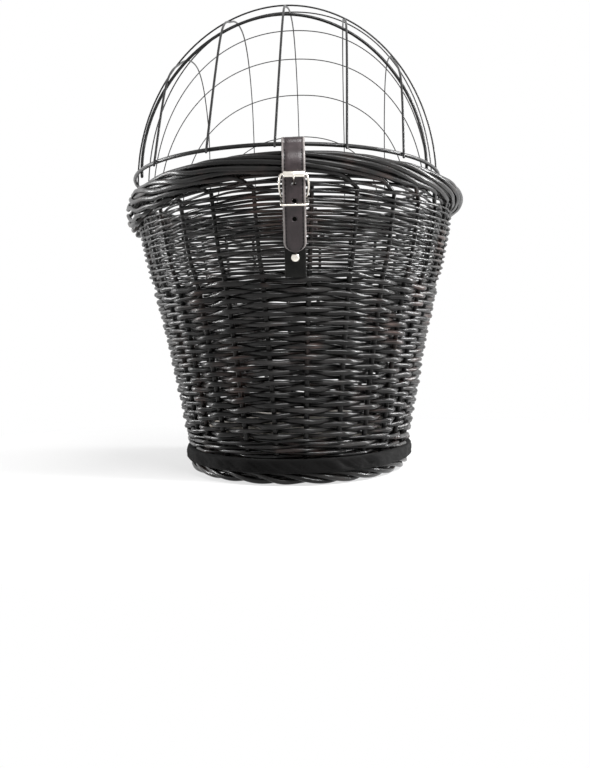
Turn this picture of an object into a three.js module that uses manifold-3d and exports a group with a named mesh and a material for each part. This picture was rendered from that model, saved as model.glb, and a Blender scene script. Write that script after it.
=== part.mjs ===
// A willow basket for a bicycle's rear rack, with a hinged wire lid, a leather strap and a roller buckle.
// Millimetres, +Z up, +Y towards the saddle. The origin is the middle of the foot border's underside.
import * as THREE from 'three';
import { mergeVertices } from 'three/addons/utils/BufferGeometryUtils.js';
import Module from 'manifold-3d';

const wasm = await Module();
wasm.setup();

// Rim border, measured on the middle of its roll. Between its two ends the rim dips at the sides.
const RIM_HALF_WIDTH = 163;
const RIM_HALF_LENGTH = 263;
const RIM_TOP_Z = 283.5;
const RIM_DIP = 7;
const BORDER_RADIUS = 12;

// Woven wall
const WALL_THICKNESS = 10;
const WALL_TOP_INSET = 3;
const WALL_HOLLOW = 2;

// Weave: stakes counted from one just right of the near end's middle, and bands of rows from the foot up.
// A row passes behind one stake in every repeat. The pitches stretch together to fill the wall.
const STAKE_COUNT = 30;
const FIRST_STAKE = 10;
const WEAVE_DEPTH = 5;
const WEAVE_BANDS = [
  { rows: 4, pitch: 4.7, repeat: 3 },
  { rows: 31, pitch: 4.5, repeat: 2 },
  { rows: 13, pitch: 5.5, repeat: 2 },
];

// Base: oval of the wall's foot, fabric band, board and foot border
const BASE_HALF_WIDTH = 117;
const BASE_HALF_LENGTH = 192;
const BAND_BOTTOM_Z = 8;
const BAND_HEIGHT = 20;
const BAND_BULGE = 2.6;
const BAND_SHOULDER = 4;
const BAND_THICKNESS = 5;
const FOOT_RADIUS = 6;
const FOOT_SIDES = 8;
const BOARD_THICKNESS = 8;

// Loose floor cushion
const CUSHION_MARGIN = 12;
const CUSHION_HEIGHT = 38;
const CUSHION_SEAM_SHARE = 0.4;
const CUSHION_FULLNESS = 2.6;
const CUSHION_UNDER_FULLNESS = 7.8;
const CUSHION_SHARES = [0, 0.35, 0.62, 0.82, 0.95, 1];

// Rack fixing: floor plates, clamp bars, bolts and wing nuts
const CLAMP_Y = 75;
const BOLT_SPACING = 90;
const BOLT_RADIUS = 2.9;
const BOLT_HEAD_RADIUS = 6.5;
const BOLT_CROWN_RADIUS = 4.5;
const BOLT_HEAD_HEIGHT = 2.5;
const BOLT_TIP_Z = 1.6;
const CLAMP_WIDTH = 20;
const PLATE_LENGTH = 120;
const PLATE_THICKNESS = 2;
const BAR_LENGTH = 170;
const BAR_THICKNESS = 3;
const NUT_HUB_RADIUS = 5.6;
const NUT_CROWN_RADIUS = 4.5;
const NUT_HUB_HEIGHT = 5.5;
const NUT_WING_REACH = 13;
const NUT_WING_THICKNESS = 2.2;
const NUT_WING_DROP = 1.2;
const NUT_WING_TOP_REACH = 3.9;
const NUT_WING_TOP_DROP = 1;
const NUT_BORE_CLEARANCE = 0.5;

// Wire lid
const RING_SIDE_INSET = 6;
const RING_END_INSET = 1;
const RING_LIFT = 5.3;
const LID_RISE = 198.2;
const RING_RADIUS = 1.75;
const NEAR_HOOP_RADIUS = 1.5;
const HOOP_RADIUS = 1.1;
const RIB_RADIUS = 1.2;
const WIRE_STUB = 4;
const RIB_NEAR_STUB = 6;
const RIB_FAR_STUB = 2;
const RIB_GAP = 0.7;
const LID_YAW = THREE.MathUtils.degToRad(-2.1);
const LID_YAW_PIVOT_Y = 70;

// Lid hoops: shares of the ring's half length where each stands and where its top is, share of the lid's
// rise, and how full its arch is (2 is an ellipse)
const HOOPS = [
  { name: 'lid_near_hoop', foot: -0.47, top: -0.47, rise: 0.728, fullness: 1.9, radius: NEAR_HOOP_RADIUS },
  { name: 'lid_hoop_2', foot: -0.191, top: -0.191, rise: 0.875, fullness: 1.95, radius: HOOP_RADIUS },
  { name: 'lid_hoop_3', foot: 0.1, top: 0.191, rise: 0.982, fullness: 2.1, radius: HOOP_RADIUS },
  { name: 'lid_hoop_4', foot: 0.18, top: 0.534, rise: 1, fullness: 2.15, radius: HOOP_RADIUS },
  { name: 'lid_hoop_5', foot: 0.27, top: 0.763, rise: 0.905, fullness: 2.15, radius: HOOP_RADIUS },
  { name: 'lid_hoop_6', foot: 0.52, top: 0.916, rise: 0.725, fullness: 2.2, radius: HOOP_RADIUS },
  { name: 'lid_hoop_7', foot: 0.76, top: 0.992, rise: 0.48, fullness: 2.2, radius: HOOP_RADIUS },
];

// Lid ribs: shares of the ring's half width, how far their near ends slant sideways, and the share of a
// hoop's half width that a rib can still cross
const RIB_PLACES = [-0.687, -0.357, 0.005, 0.376, 0.7];
const RIB_SLANT = 3.2;
const RIB_REACH = 0.97;

// Leather hinge loops at the far end
const LOOP_X = 16;
const LOOP_WIDTH = 12;
const LOOP_LEATHER = 2;
const LOOP_SLACK = 6;

// Strap, anchor and buckle at the near end
const STRAP_WIDTH = 19;
const STRAP_THICKNESS = 3;
const STRAP_TIP_Z = 203.5;
const STRAP_POINT = 9;
const STRAP_NOSE = 2.5;
const STRAP_EYE_RADIUS = 3.4;
const STRAP_EYE_LEATHER = 1.6;
const STRAP_MEETS_ROLL = THREE.MathUtils.degToRad(122);
const HOLE_RADIUS = 1.9;
const HOLE_PITCH = 13.8;
const SPARE_HOLES = 2;
const ANCHOR_WIDTH = 18;
const ANCHOR_THICKNESS = 2.2;
const ANCHOR_END_Z = 182;
const RIVET_Z = 198.4;
const RIVET_HEAD_RADIUS = 3.7;
const RIVET_HEAD_HEIGHT = 2.4;
const RIVET_SHOULDER_RADIUS = 3;
const RIVET_SHOULDER_HEIGHT = 1.4;
const RIVET_SHANK_RADIUS = 1.6;
const RIVET_TAIL_RADIUS = 2.8;
const WASHER_RADIUS = 5;
const WASHER_THICKNESS = 1.2;
const BUCKLE_WIRE = 0.95;
const BUCKLE_HINGE_Z = 245.6;
const BUCKLE_HINGE_OUT = 8;
const ROLLER_Z = 261.6;
const ROLLER_RADIUS = 2.6;
const ROLLER_LENGTH = 17;
const BUCKLE_BULGE = 1.1;
const BUCKLE_CORNER = 1.8;
const PRONG_RING_WALL = 0.95;
const PRONG_WIDTH = 3.2;
const PRONG_HOLE_SHARE = 0.64;
const PRONG_UNDER_ROLLER = [8, 42, 70];
const KEEPER_WIRE = 0.95;
const KEEPER_Z = 239.3;
const KEEPER_CORNER = 2;

// Clearances
const SEAT_GAP = 0.3;
const WIRE_GAP = 0.45;
const LEATHER_GAP = 0.4;
const TURN_GAP = 0.35;

// Facets
const OVAL_STEPS = 48;
const RING_STEPS = 72;
const BORDER_SIDES = 10;
const WIRE_SIDES = 6;
const HOOP_STEPS = 16;
const WALL_LEVELS = 6;
const ROLL_STEPS = 6;
const BOLT_SIDES = 12;

// Sizes that follow from the ones above
const BORDER_Z = RIM_TOP_Z - BORDER_RADIUS;
const RING_HALF_WIDTH = RIM_HALF_WIDTH - RING_SIDE_INSET;
const RING_HALF_LENGTH = RIM_HALF_LENGTH - RING_END_INSET;
const RING_Z = RIM_TOP_Z + RING_LIFT;
const BAND_TOP_Z = BAND_BOTTOM_Z + BAND_HEIGHT;
const WALL_BOTTOM_Z = BAND_TOP_Z + SEAT_GAP;
const WALL_TOP_Z = BORDER_Z - Math.sqrt(BORDER_RADIUS ** 2 - WALL_TOP_INSET ** 2) - SEAT_GAP;
const FOOT_OFFSET = -BAND_THICKNESS - SEAT_GAP - FOOT_RADIUS;
const BOARD_BOTTOM_Z = 2 * FOOT_RADIUS + SEAT_GAP;
const BOARD_TOP_Z = BOARD_BOTTOM_Z + BOARD_THICKNESS;
const PLATE_BOTTOM_Z = BOARD_TOP_Z + SEAT_GAP;
const PLATE_TOP_Z = PLATE_BOTTOM_Z + PLATE_THICKNESS;
const BOLT_HEAD_Z = PLATE_TOP_Z + SEAT_GAP;
const CUSHION_BOTTOM_Z = BOLT_HEAD_Z + BOLT_HEAD_HEIGHT + SEAT_GAP;
const BAR_TOP_Z = BOARD_BOTTOM_Z - SEAT_GAP;
const NUT_TOP_Z = BAR_TOP_Z - BAR_THICKNESS - SEAT_GAP;
const HOLE_IN_METAL = BOLT_RADIUS + NUT_BORE_CLEARANCE;
const HINGE_Y = RIM_HALF_LENGTH;
const LOOP_RADIUS = BORDER_RADIUS + LOOP_SLACK + LEATHER_GAP;

// Materials
function finish(color, roughness, metalness) {
  return new THREE.MeshStandardMaterial({ color, roughness, metalness });
}

const WILLOW = finish(0x1c1b1a, 0.5, 0);
const FABRIC = finish(0x111112, 0.9, 0);
const CUSHION_CLOTH = finish(0x6d675f, 0.95, 0);
const PLYWOOD = finish(0x8a6a45, 0.8, 0);
const BLACK_WIRE = finish(0x141414, 0.4, 0.5);
const LEATHER = finish(0x241d1c, 0.5, 0);
const NICKEL = finish(0xc9c6bf, 0.25, 1);
const ZINC = finish(0x9b9da0, 0.4, 1);

const basket = new THREE.Group();
const lid = new THREE.Group();
const lidPivot = new THREE.Group();
lidPivot.position.set(0, LID_YAW_PIVOT_Y, 0);
lidPivot.rotation.set(0, 0, LID_YAW);
lid.position.set(0, -LID_YAW_PIVOT_Y, 0);
lidPivot.add(lid);
basket.add(lidPivot);
basket.updateMatrixWorld(true);

function addPiece(parent, name, geometry, material) {
  const mesh = new THREE.Mesh(geometry, material);
  mesh.name = name;
  parent.add(mesh);
  return mesh;
}

// A point of an upright oval, pushed outwards square to it.
function ovalPoint(halfWidth, halfLength, angle, offset, z) {
  const normal = new THREE.Vector2(halfLength * Math.cos(angle), halfWidth * Math.sin(angle)).normalize();
  const x = halfWidth * Math.cos(angle) + normal.x * offset;
  const y = halfLength * Math.sin(angle) + normal.y * offset;
  return new THREE.Vector3(x, y, z);
}

// Joins rings of points, each a closed section, into one closed surface. The rings close on the first one.
function closedGrid(rings) {
  const sides = rings[0].length;
  const positions = rings.flat().flatMap((point) => point.toArray());
  const indices = [];
  rings.forEach((ring, i) => {
    const next = ((i + 1) % rings.length) * sides;
    for (let j = 0; j < sides; j += 1) {
      const k = (j + 1) % sides;
      indices.push(i * sides + j, next + j, next + k, i * sides + j, next + k, i * sides + k);
    }
  });
  const geometry = new THREE.BufferGeometry();
  geometry.setAttribute('position', new THREE.Float32BufferAttribute(positions, 3));
  geometry.setIndex(indices);
  return geometry;
}

// A ring round an oval: each profile point gives the oval's half sizes, an offset from it and a height.
function ovalRing(profile, steps, dip = () => 0) {
  const rings = [];
  for (let i = 0; i < steps; i += 1) {
    const angle = (2 * Math.PI * i) / steps;
    rings.push(profile.map((p) => ovalPoint(p.halfWidth, p.halfLength, angle, p.offset, p.z - dip(angle))));
  }
  return closedGrid(rings);
}

// How far the rim lies below its ends: nothing at the near and far ends, all of it at the sides.
const rimDip = (angle) => RIM_DIP * Math.cos(angle) ** 2;

// Points of a round section, anticlockwise, as offsets and heights.
function roundSection(radius, sides) {
  return Array.from({ length: sides }, (_, i) => {
    const angle = (2 * Math.PI * (i + 0.5)) / sides;
    return new THREE.Vector2(radius * Math.cos(angle), radius * Math.sin(angle));
  });
}

// A wire bent to a closed flat loop: points go anticlockwise about the loop's normal.
function wireLoop(points, normal, radius) {
  const section = roundSection(radius, WIRE_SIDES);
  const rings = points.map((point, i) => {
    const before = points[(i + points.length - 1) % points.length];
    const after = points[(i + 1) % points.length];
    const side = after.clone().sub(before).cross(normal).normalize();
    return section.map((s) => point.clone().addScaledVector(side, s.x).addScaledVector(normal, s.y));
  });
  return closedGrid(rings);
}

// A wire's course that is sampled at its own bend points, so that crossings stay where they are set.
class WireCourse extends THREE.CatmullRomCurve3 {
  getPointAt(t, target) {
    return this.getPoint(t, target);
  }

  getTangentAt(t, target) {
    return this.getTangent(t, target);
  }

  getSpacedPoints(divisions) {
    return this.getPoints(divisions);
  }
}

function wire(points, radius, stepsPerBend) {
  const section = new THREE.Shape(roundSection(radius, WIRE_SIDES));
  const extrudePath = new WireCourse(points);
  const steps = (points.length - 1) * stepsPerBend;
  return new THREE.ExtrudeGeometry(section, { steps, extrudePath, bevelEnabled: false });
}

// Extrudes a shape drawn in the Y-Z plane to both sides of a place on X.
function sideways(shape, width, x = 0) {
  const geometry = new THREE.ExtrudeGeometry(shape, { depth: width, bevelEnabled: false, curveSegments: 8 });
  const turn = new THREE.Matrix4().makeBasis(
    new THREE.Vector3(0, 1, 0), new THREE.Vector3(0, 0, 1), new THREE.Vector3(1, 0, 0));
  return geometry.translate(0, 0, -width / 2).applyMatrix4(turn).translate(x, 0, 0);
}

// Extrudes a shape drawn in the X-Y plane upwards from a height.
function upwards(shape, height, z) {
  const options = { depth: height, bevelEnabled: false, curveSegments: BOLT_SIDES / 2 };
  return new THREE.ExtrudeGeometry(shape, options).translate(0, 0, z);
}

function circlePath(x, y, radius) {
  return new THREE.Path().absarc(x, y, radius, 0, 2 * Math.PI, true);
}

// The outline of a belt round two circles.
function beltOutline(Outline, a, radiusA, b, radiusB) {
  const axis = b.clone().sub(a);
  const spread = Math.acos((radiusA - radiusB) / axis.length());
  const lean = axis.angle();
  const outline = new Outline();
  outline.absarc(a.x, a.y, radiusA, lean + spread, lean - spread + 2 * Math.PI, false);
  outline.absarc(b.x, b.y, radiusB, lean - spread, lean + spread, false);
  return outline;
}

// The outline of a ribbon of even thickness along a course of points.
function ribbonShape(points, thickness) {
  const normals = points.map((point, i) => {
    const before = points[Math.max(i - 1, 0)];
    const after = points[Math.min(i + 1, points.length - 1)];
    const along = after.clone().sub(before).normalize();
    return new THREE.Vector2(-along.y, along.x);
  });
  const left = points.map((p, i) => p.clone().addScaledVector(normals[i], thickness / 2));
  const right = points.map((p, i) => p.clone().addScaledVector(normals[i], -thickness / 2));
  return new THREE.Shape([...right, ...left.reverse()]);
}

function toSolid(geometry) {
  const bare = geometry.clone();
  bare.deleteAttribute('normal');
  bare.deleteAttribute('uv');
  const merged = mergeVertices(bare, 1e-4);
  return new wasm.Manifold(new wasm.Mesh({
    numProp: 3,
    vertProperties: new Float32Array(merged.attributes.position.array),
    triVerts: new Uint32Array(merged.index.array),
  }));
}

function fromSolid(solid) {
  const mesh = solid.getMesh();
  const geometry = new THREE.BufferGeometry();
  geometry.setAttribute('position', new THREE.BufferAttribute(new Float32Array(mesh.vertProperties), 3));
  geometry.setIndex(new THREE.BufferAttribute(new Uint32Array(mesh.triVerts), 1));
  return geometry;
}

function joined(first, ...others) {
  return fromSolid(others.reduce((solid, other) => solid.add(toSolid(other)), toSolid(first)));
}

function cut(first, ...tools) {
  return fromSolid(tools.reduce((solid, tool) => solid.subtract(toSolid(tool)), toSolid(first)));
}

// Wall: straight flare from the base oval to under the border, drawn in a little halfway
function wallSize(baseSize, rimSize, z) {
  const t = (z - WALL_BOTTOM_Z) / (WALL_TOP_Z - WALL_BOTTOM_Z);
  return THREE.MathUtils.lerp(baseSize, rimSize - WALL_TOP_INSET, t) - WALL_HOLLOW * Math.sin(Math.PI * t);
}

const wallHalfWidth = (z) => wallSize(BASE_HALF_WIDTH, RIM_HALF_WIDTH, z);
const wallHalfLength = (z) => wallSize(BASE_HALF_LENGTH, RIM_HALF_LENGTH, z);

// Where the wall's near face is, and its outward normal there, in the Y-Z plane
const nearWallY = (z) => -wallHalfLength(z);

function nearWallNormal(z) {
  const along = new THREE.Vector2(nearWallY(z + 1) - nearWallY(z - 1), 2).normalize();
  return new THREE.Vector2(-along.y, along.x);
}

// Places a turned piece, whose axis is its own +Y, on the near wall at the rivet
function placeAtRivet(geometry) {
  const normal = nearWallNormal(RIVET_Z);
  const turn = new THREE.Quaternion().setFromUnitVectors(
    new THREE.Vector3(0, 1, 0), new THREE.Vector3(0, normal.x, normal.y));
  return geometry.applyQuaternion(turn).translate(0, nearWallY(RIVET_Z), RIVET_Z);
}

function turned(profile, sides) {
  return new THREE.LatheGeometry(profile.map(([r, y]) => new THREE.Vector2(r, y)), sides);
}

// Rows of the weave, from the foot up: the height of each and its band's repeat
function weaveRows() {
  const rows = WEAVE_BANDS.flatMap((band) => Array(band.rows).fill(band));
  const stretch = (WALL_TOP_Z - WALL_BOTTOM_Z) / rows.reduce((sum, { pitch }) => sum + pitch, 0);
  let foot = WALL_BOTTOM_Z;
  return rows.map(({ pitch, repeat }) => {
    const z = foot + (pitch * stretch) / 2;
    foot += pitch * stretch;
    return { z, repeat };
  });
}

// Angles of places round the wall, evenly spaced by its length at half height
function weaveAngles(count) {
  const half = (WALL_BOTTOM_Z + WALL_TOP_Z) / 2;
  const near = -Math.PI / 2;
  const oval = new THREE.EllipseCurve(
    0, 0, wallHalfWidth(half), wallHalfLength(half), near, near + 2 * Math.PI);
  const start = FIRST_STAKE / oval.getLength();
  return Array.from({ length: count }, (_, i) => (
    near + 2 * Math.PI * oval.getUtoTmapping((start + i / count) % 1)));
}

// How far a row lies behind the wall's face, a number of stakes along from one that it passes behind
function weaveOffset(stakes, repeat) {
  const turn = Math.cos((2 * Math.PI * stakes) / repeat);
  const front = repeat === 2 ? -turn : (1 - 4 * turn) / 3;
  return WEAVE_DEPTH * (THREE.MathUtils.clamp(front, 0, 1) - 1);
}

// The wall's shell: rows in relief outside, one point at each stake and one between, and a plain inside
function wovenShell() {
  const level = (i) => THREE.MathUtils.lerp(WALL_TOP_Z, WALL_BOTTOM_Z, i / (WALL_LEVELS - 1));
  const levels = Array.from({ length: WALL_LEVELS }, (_, i) => level(i));
  const rows = weaveRows();
  return closedGrid(weaveAngles(2 * STAKE_COUNT).map((angle, i) => {
    const squeeze = 1 - rimDip(angle) / (WALL_TOP_Z - WALL_BOTTOM_Z);
    const point = (z, offset) => ovalPoint(
      wallHalfWidth(z), wallHalfLength(z), angle, offset, WALL_BOTTOM_Z + (z - WALL_BOTTOM_Z) * squeeze);
    const outside = rows.map(({ z, repeat }, row) => point(z, weaveOffset(i / 2 + row, repeat)));
    const inside = levels.map((z) => point(z, -WALL_THICKNESS));
    const edges = [WALL_BOTTOM_Z, WALL_TOP_Z].map((z) => point(z, -WEAVE_DEPTH / 2));
    return [edges[0], ...outside, edges[1], ...inside];
  }));
}

function wovenWall() {
  const rivetHole = placeAtRivet(new THREE.CylinderGeometry(
    RIVET_SHANK_RADIUS + LEATHER_GAP, RIVET_SHANK_RADIUS + LEATHER_GAP, 4 * WALL_THICKNESS, BOLT_SIDES));
  const notchBottom = BORDER_Z - LOOP_RADIUS - LOOP_LEATHER - LEATHER_GAP;
  const notchHeight = BORDER_Z - notchBottom;
  const notches = [-LOOP_X, LOOP_X].map((x) => {
    const notch = new THREE.BoxGeometry(LOOP_WIDTH + 4 * LEATHER_GAP, 4 * WALL_THICKNESS, notchHeight);
    notch.translate(x, HINGE_Y - WALL_THICKNESS, notchBottom + notchHeight / 2);
    return notch.applyMatrix4(lid.matrixWorld);
  });
  return cut(wovenShell(), rivetHole, ...notches);
}

function rimBorder() {
  const profile = roundSection(BORDER_RADIUS, BORDER_SIDES).map((s) => ({
    halfWidth: RIM_HALF_WIDTH, halfLength: RIM_HALF_LENGTH, offset: s.x, z: BORDER_Z + s.y,
  }));
  return ovalRing(profile, RING_STEPS, rimDip);
}

function baseRing(section) {
  const profile = section.map(([offset, z]) => ({
    halfWidth: BASE_HALF_WIDTH, halfLength: BASE_HALF_LENGTH, offset, z,
  }));
  return ovalRing(profile, OVAL_STEPS);
}

function baseBand() {
  return baseRing([
    [-BAND_THICKNESS, BAND_BOTTOM_Z],
    [BAND_BULGE / 2, BAND_BOTTOM_Z],
    [BAND_BULGE, BAND_BOTTOM_Z + BAND_SHOULDER],
    [BAND_BULGE, BAND_TOP_Z - BAND_SHOULDER],
    [BAND_BULGE / 2, BAND_TOP_Z],
    [-BAND_THICKNESS, BAND_TOP_Z],
  ]);
}

// The foot's section has a flat underneath, on which the basket stands. A clamp bar that reaches it is
// let into it.
function footBorder() {
  const section = roundSection(FOOT_RADIUS / Math.cos(Math.PI / FOOT_SIDES), FOOT_SIDES);
  const ring = baseRing(section.map((s) => [FOOT_OFFSET + s.x, FOOT_RADIUS + s.y]));
  const barSpaces = [-CLAMP_Y, CLAMP_Y].map((y) => {
    const space = new THREE.BoxGeometry(
      BAR_LENGTH + 2 * SEAT_GAP, CLAMP_WIDTH + 2 * SEAT_GAP, BAR_THICKNESS + 2 * SEAT_GAP);
    return space.translate(0, y, BAR_TOP_Z - BAR_THICKNESS / 2);
  });
  return cut(ring, ...barSpaces);
}

function baseBoard() {
  const inset = BAND_THICKNESS + SEAT_GAP;
  const outline = Array.from({ length: OVAL_STEPS }, (_, i) => {
    const angle = (2 * Math.PI * i) / OVAL_STEPS;
    const point = ovalPoint(BASE_HALF_WIDTH, BASE_HALF_LENGTH, angle, -inset, 0);
    return new THREE.Vector2(point.x, point.y);
  });
  const board = new THREE.Shape(outline);
  for (const y of [-CLAMP_Y, CLAMP_Y]) {
    board.holes.push(circlePath(-BOLT_SPACING / 2, y, HOLE_IN_METAL));
    board.holes.push(circlePath(BOLT_SPACING / 2, y, HOLE_IN_METAL));
  }
  return upwards(board, BOARD_THICKNESS, BOARD_BOTTOM_Z);
}

// A crowned oval pad: a seam round its side, a full top and a flatter underside.
function floorCushion() {
  const seamZ = CUSHION_BOTTOM_Z + CUSHION_HEIGHT * CUSHION_SEAM_SHARE;
  const insideWidth = wallHalfWidth(WALL_BOTTOM_Z) - WALL_THICKNESS - CUSHION_MARGIN;
  const insideLength = wallHalfLength(WALL_BOTTOM_Z) - WALL_THICKNESS - CUSHION_MARGIN;
  const topZ = CUSHION_BOTTOM_Z + CUSHION_HEIGHT;
  const bulge = (share, fullness) => Math.sqrt(1 - share ** fullness);
  const under = CUSHION_SHARES.slice(0, -1).map((share) => [
    share, THREE.MathUtils.lerp(seamZ, CUSHION_BOTTOM_Z, bulge(share, CUSHION_UNDER_FULLNESS))]);
  const top = CUSHION_SHARES.map((share) => [
    share, THREE.MathUtils.lerp(seamZ, topZ, bulge(share, CUSHION_FULLNESS))]);
  const pad = turned([...under, ...top.reverse()], OVAL_STEPS / 2).rotateX(Math.PI / 2);
  return pad.scale(insideWidth, insideLength, 1);
}

function drilledStrip(length, thickness, y, z) {
  const strip = new THREE.Shape();
  strip.moveTo(-length / 2, y - CLAMP_WIDTH / 2);
  strip.lineTo(length / 2, y - CLAMP_WIDTH / 2);
  strip.lineTo(length / 2, y + CLAMP_WIDTH / 2);
  strip.lineTo(-length / 2, y + CLAMP_WIDTH / 2);
  strip.holes.push(circlePath(-BOLT_SPACING / 2, y, HOLE_IN_METAL));
  strip.holes.push(circlePath(BOLT_SPACING / 2, y, HOLE_IN_METAL));
  return upwards(strip, thickness, z);
}

function clampBolt() {
  const headTop = BOLT_HEAD_Z + BOLT_HEAD_HEIGHT;
  const profile = [
    [0, BOLT_TIP_Z],
    [BOLT_RADIUS, BOLT_TIP_Z],
    [BOLT_RADIUS, BOLT_HEAD_Z],
    [BOLT_HEAD_RADIUS, BOLT_HEAD_Z],
    [BOLT_CROWN_RADIUS, headTop],
    [0, headTop],
  ];
  return turned(profile, BOLT_SIDES).rotateX(Math.PI / 2);
}

function wingNut() {
  const bottom = NUT_TOP_Z - NUT_HUB_HEIGHT;
  const profile = [[0, bottom], [NUT_HUB_RADIUS, bottom], [NUT_CROWN_RADIUS, NUT_TOP_Z], [0, NUT_TOP_Z]];
  const hub = turned(profile, BOLT_SIDES).rotateX(Math.PI / 2);
  const wingTop = NUT_TOP_Z - NUT_WING_TOP_DROP;
  const wingMiddle = bottom + NUT_HUB_HEIGHT / 2;
  const wingTip = bottom - NUT_WING_DROP;
  const wings = new THREE.Shape();
  wings.moveTo(-NUT_WING_REACH, wingTip);
  wings.lineTo(-NUT_HUB_RADIUS, bottom);
  wings.lineTo(NUT_HUB_RADIUS, bottom);
  wings.lineTo(NUT_WING_REACH, wingTip);
  wings.quadraticCurveTo(NUT_WING_REACH, wingMiddle, NUT_WING_TOP_REACH, wingTop);
  wings.lineTo(-NUT_WING_TOP_REACH, wingTop);
  wings.quadraticCurveTo(-NUT_WING_REACH, wingMiddle, -NUT_WING_REACH, wingTip);
  const options = { depth: NUT_WING_THICKNESS, bevelEnabled: false, curveSegments: 4 };
  const plate = new THREE.ExtrudeGeometry(wings, options);
  plate.translate(0, 0, -NUT_WING_THICKNESS / 2).rotateX(Math.PI / 2);
  const bore = new THREE.CylinderGeometry(HOLE_IN_METAL, HOLE_IN_METAL, 4 * NUT_HUB_HEIGHT, BOLT_SIDES);
  bore.rotateX(Math.PI / 2).translate(0, 0, NUT_TOP_Z);
  return cut(joined(hub, plate), bore);
}

addPiece(basket, 'woven_wall', wovenWall(), WILLOW);
addPiece(basket, 'rim_border', rimBorder(), WILLOW);
addPiece(basket, 'base_band', baseBand(), FABRIC);
addPiece(basket, 'foot_border', footBorder(), WILLOW);
addPiece(basket, 'base_board', baseBoard(), PLYWOOD);
addPiece(basket, 'floor_cushion', floorCushion(), CUSHION_CLOTH);

for (const [end, y] of [['front', CLAMP_Y], ['rear', -CLAMP_Y]]) {
  const plate = drilledStrip(PLATE_LENGTH, PLATE_THICKNESS, y, PLATE_BOTTOM_Z);
  const bar = drilledStrip(BAR_LENGTH, BAR_THICKNESS, y, BAR_TOP_Z - BAR_THICKNESS);
  addPiece(basket, `floor_plate_${end}`, plate, ZINC);
  addPiece(basket, `clamp_bar_${end}`, bar, ZINC);
  for (const [side, x] of [['left', -BOLT_SPACING / 2], ['right', BOLT_SPACING / 2]]) {
    addPiece(basket, `clamp_bolt_${end}_${side}`, clampBolt(), ZINC).position.set(x, y, 0);
    addPiece(basket, `wing_nut_${end}_${side}`, wingNut(), ZINC).position.set(x, y, 0);
  }
}

// Lid wires: the ring, the hoops inside it and the ribs across the hoops
const ringAt = (angle) => ovalPoint(RING_HALF_WIDTH, RING_HALF_LENGTH, angle, 0, RING_Z);

function lidRing() {
  const points = Array.from({ length: RING_STEPS }, (_, i) => ringAt((2 * Math.PI * i) / RING_STEPS));
  return wireLoop(points, new THREE.Vector3(0, 0, 1), RING_RADIUS);
}

// Half the ring's width at a place along it, for a wire that stands just inside the ring.
function widthInsideRing(y, wireRadius) {
  const inset = RING_RADIUS + wireRadius + WIRE_GAP;
  return (RING_HALF_WIDTH - inset) * Math.sqrt(1 - (y / (RING_HALF_LENGTH - inset)) ** 2);
}

const hoopHalfWidth = (hoop) => widthInsideRing(hoop.foot * RING_HALF_LENGTH, hoop.radius);

// A hoop's point at a share of its half width: 0 is its top, 1 and -1 are its feet.
function hoopPoint(hoop, share) {
  const height = (1 - Math.abs(share) ** hoop.fullness) ** (1 / hoop.fullness);
  const y = THREE.MathUtils.lerp(hoop.foot, hoop.top, height) * RING_HALF_LENGTH;
  return new THREE.Vector3(hoopHalfWidth(hoop) * share, y, RING_Z + hoop.rise * LID_RISE * height);
}

function hoopWire(hoop) {
  const points = Array.from({ length: HOOP_STEPS + 1 }, (_, i) => {
    const angle = Math.PI * (1 - i / HOOP_STEPS);
    const share = Math.sign(Math.cos(angle)) * Math.abs(Math.cos(angle)) ** (2 / hoop.fullness);
    return hoopPoint(hoop, THREE.MathUtils.clamp(share, -1, 1));
  });
  const lean = ((hoop.top - hoop.foot) * RING_HALF_LENGTH) / (hoop.rise * LID_RISE);
  const stub = new THREE.Vector3(0, -lean * WIRE_STUB, -WIRE_STUB);
  const first = points[0].clone().add(stub);
  const last = points[HOOP_STEPS].clone().add(stub);
  return wire([first, ...points, last], hoop.radius, 1);
}

// Where a rib meets the ring, outside it at the near end and inside it at the far end, and its straight stub.
function ribEnd(x, side, from, stub) {
  const angle = side * Math.acos(x / RING_HALF_WIDTH);
  const ring = ringAt(angle);
  const tangent = new THREE.Vector3(
    -RING_HALF_WIDTH * Math.sin(angle), RING_HALF_LENGTH * Math.cos(angle), 0);
  const down = ring.clone().sub(from).normalize();
  const across = tangent.cross(down).normalize();
  if (across.dot(ring) * side > 0) across.negate();
  const contact = ring.addScaledVector(across, RING_RADIUS + RIB_RADIUS + WIRE_GAP);
  return [contact, contact.clone().addScaledVector(down, stub)];
}

// A rib lies on the near hoop's outside and passes under the others that are wide enough to reach it.
function ribWire(place) {
  const x = place * RING_HALF_WIDTH;
  const shareOf = (hoop) => x / hoopHalfWidth(hoop);
  const crossed = HOOPS.filter((hoop) => Math.abs(shareOf(hoop)) < RIB_REACH);
  const onHoops = crossed.map((hoop) => hoopPoint(hoop, shareOf(hoop)));
  const nearRing = ringAt(-Math.acos(x / RING_HALF_WIDTH));
  const farRing = ringAt(Math.acos(x / RING_HALF_WIDTH));
  const course = [nearRing, ...onHoops, farRing];
  const passing = crossed.map((hoop, i) => {
    const share = shareOf(hoop);
    const nudge = 0.01;
    const across = hoopPoint(hoop, share + nudge).sub(hoopPoint(hoop, share - nudge));
    const along = course[i + 2].clone().sub(course[i]);
    const inward = along.cross(across).normalize();
    const depth = hoop.radius + RIB_RADIUS + RIB_GAP;
    return onHoops[i].clone().addScaledVector(inward, hoop === HOOPS[0] ? -depth : depth);
  });
  const near = ribEnd(x - RIB_SLANT, -1, passing[0], RIB_NEAR_STUB);
  const far = ribEnd(x, 1, passing[passing.length - 1], RIB_FAR_STUB);
  return wire([...near.reverse(), ...passing, ...far], RIB_RADIUS, 2);
}

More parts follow.
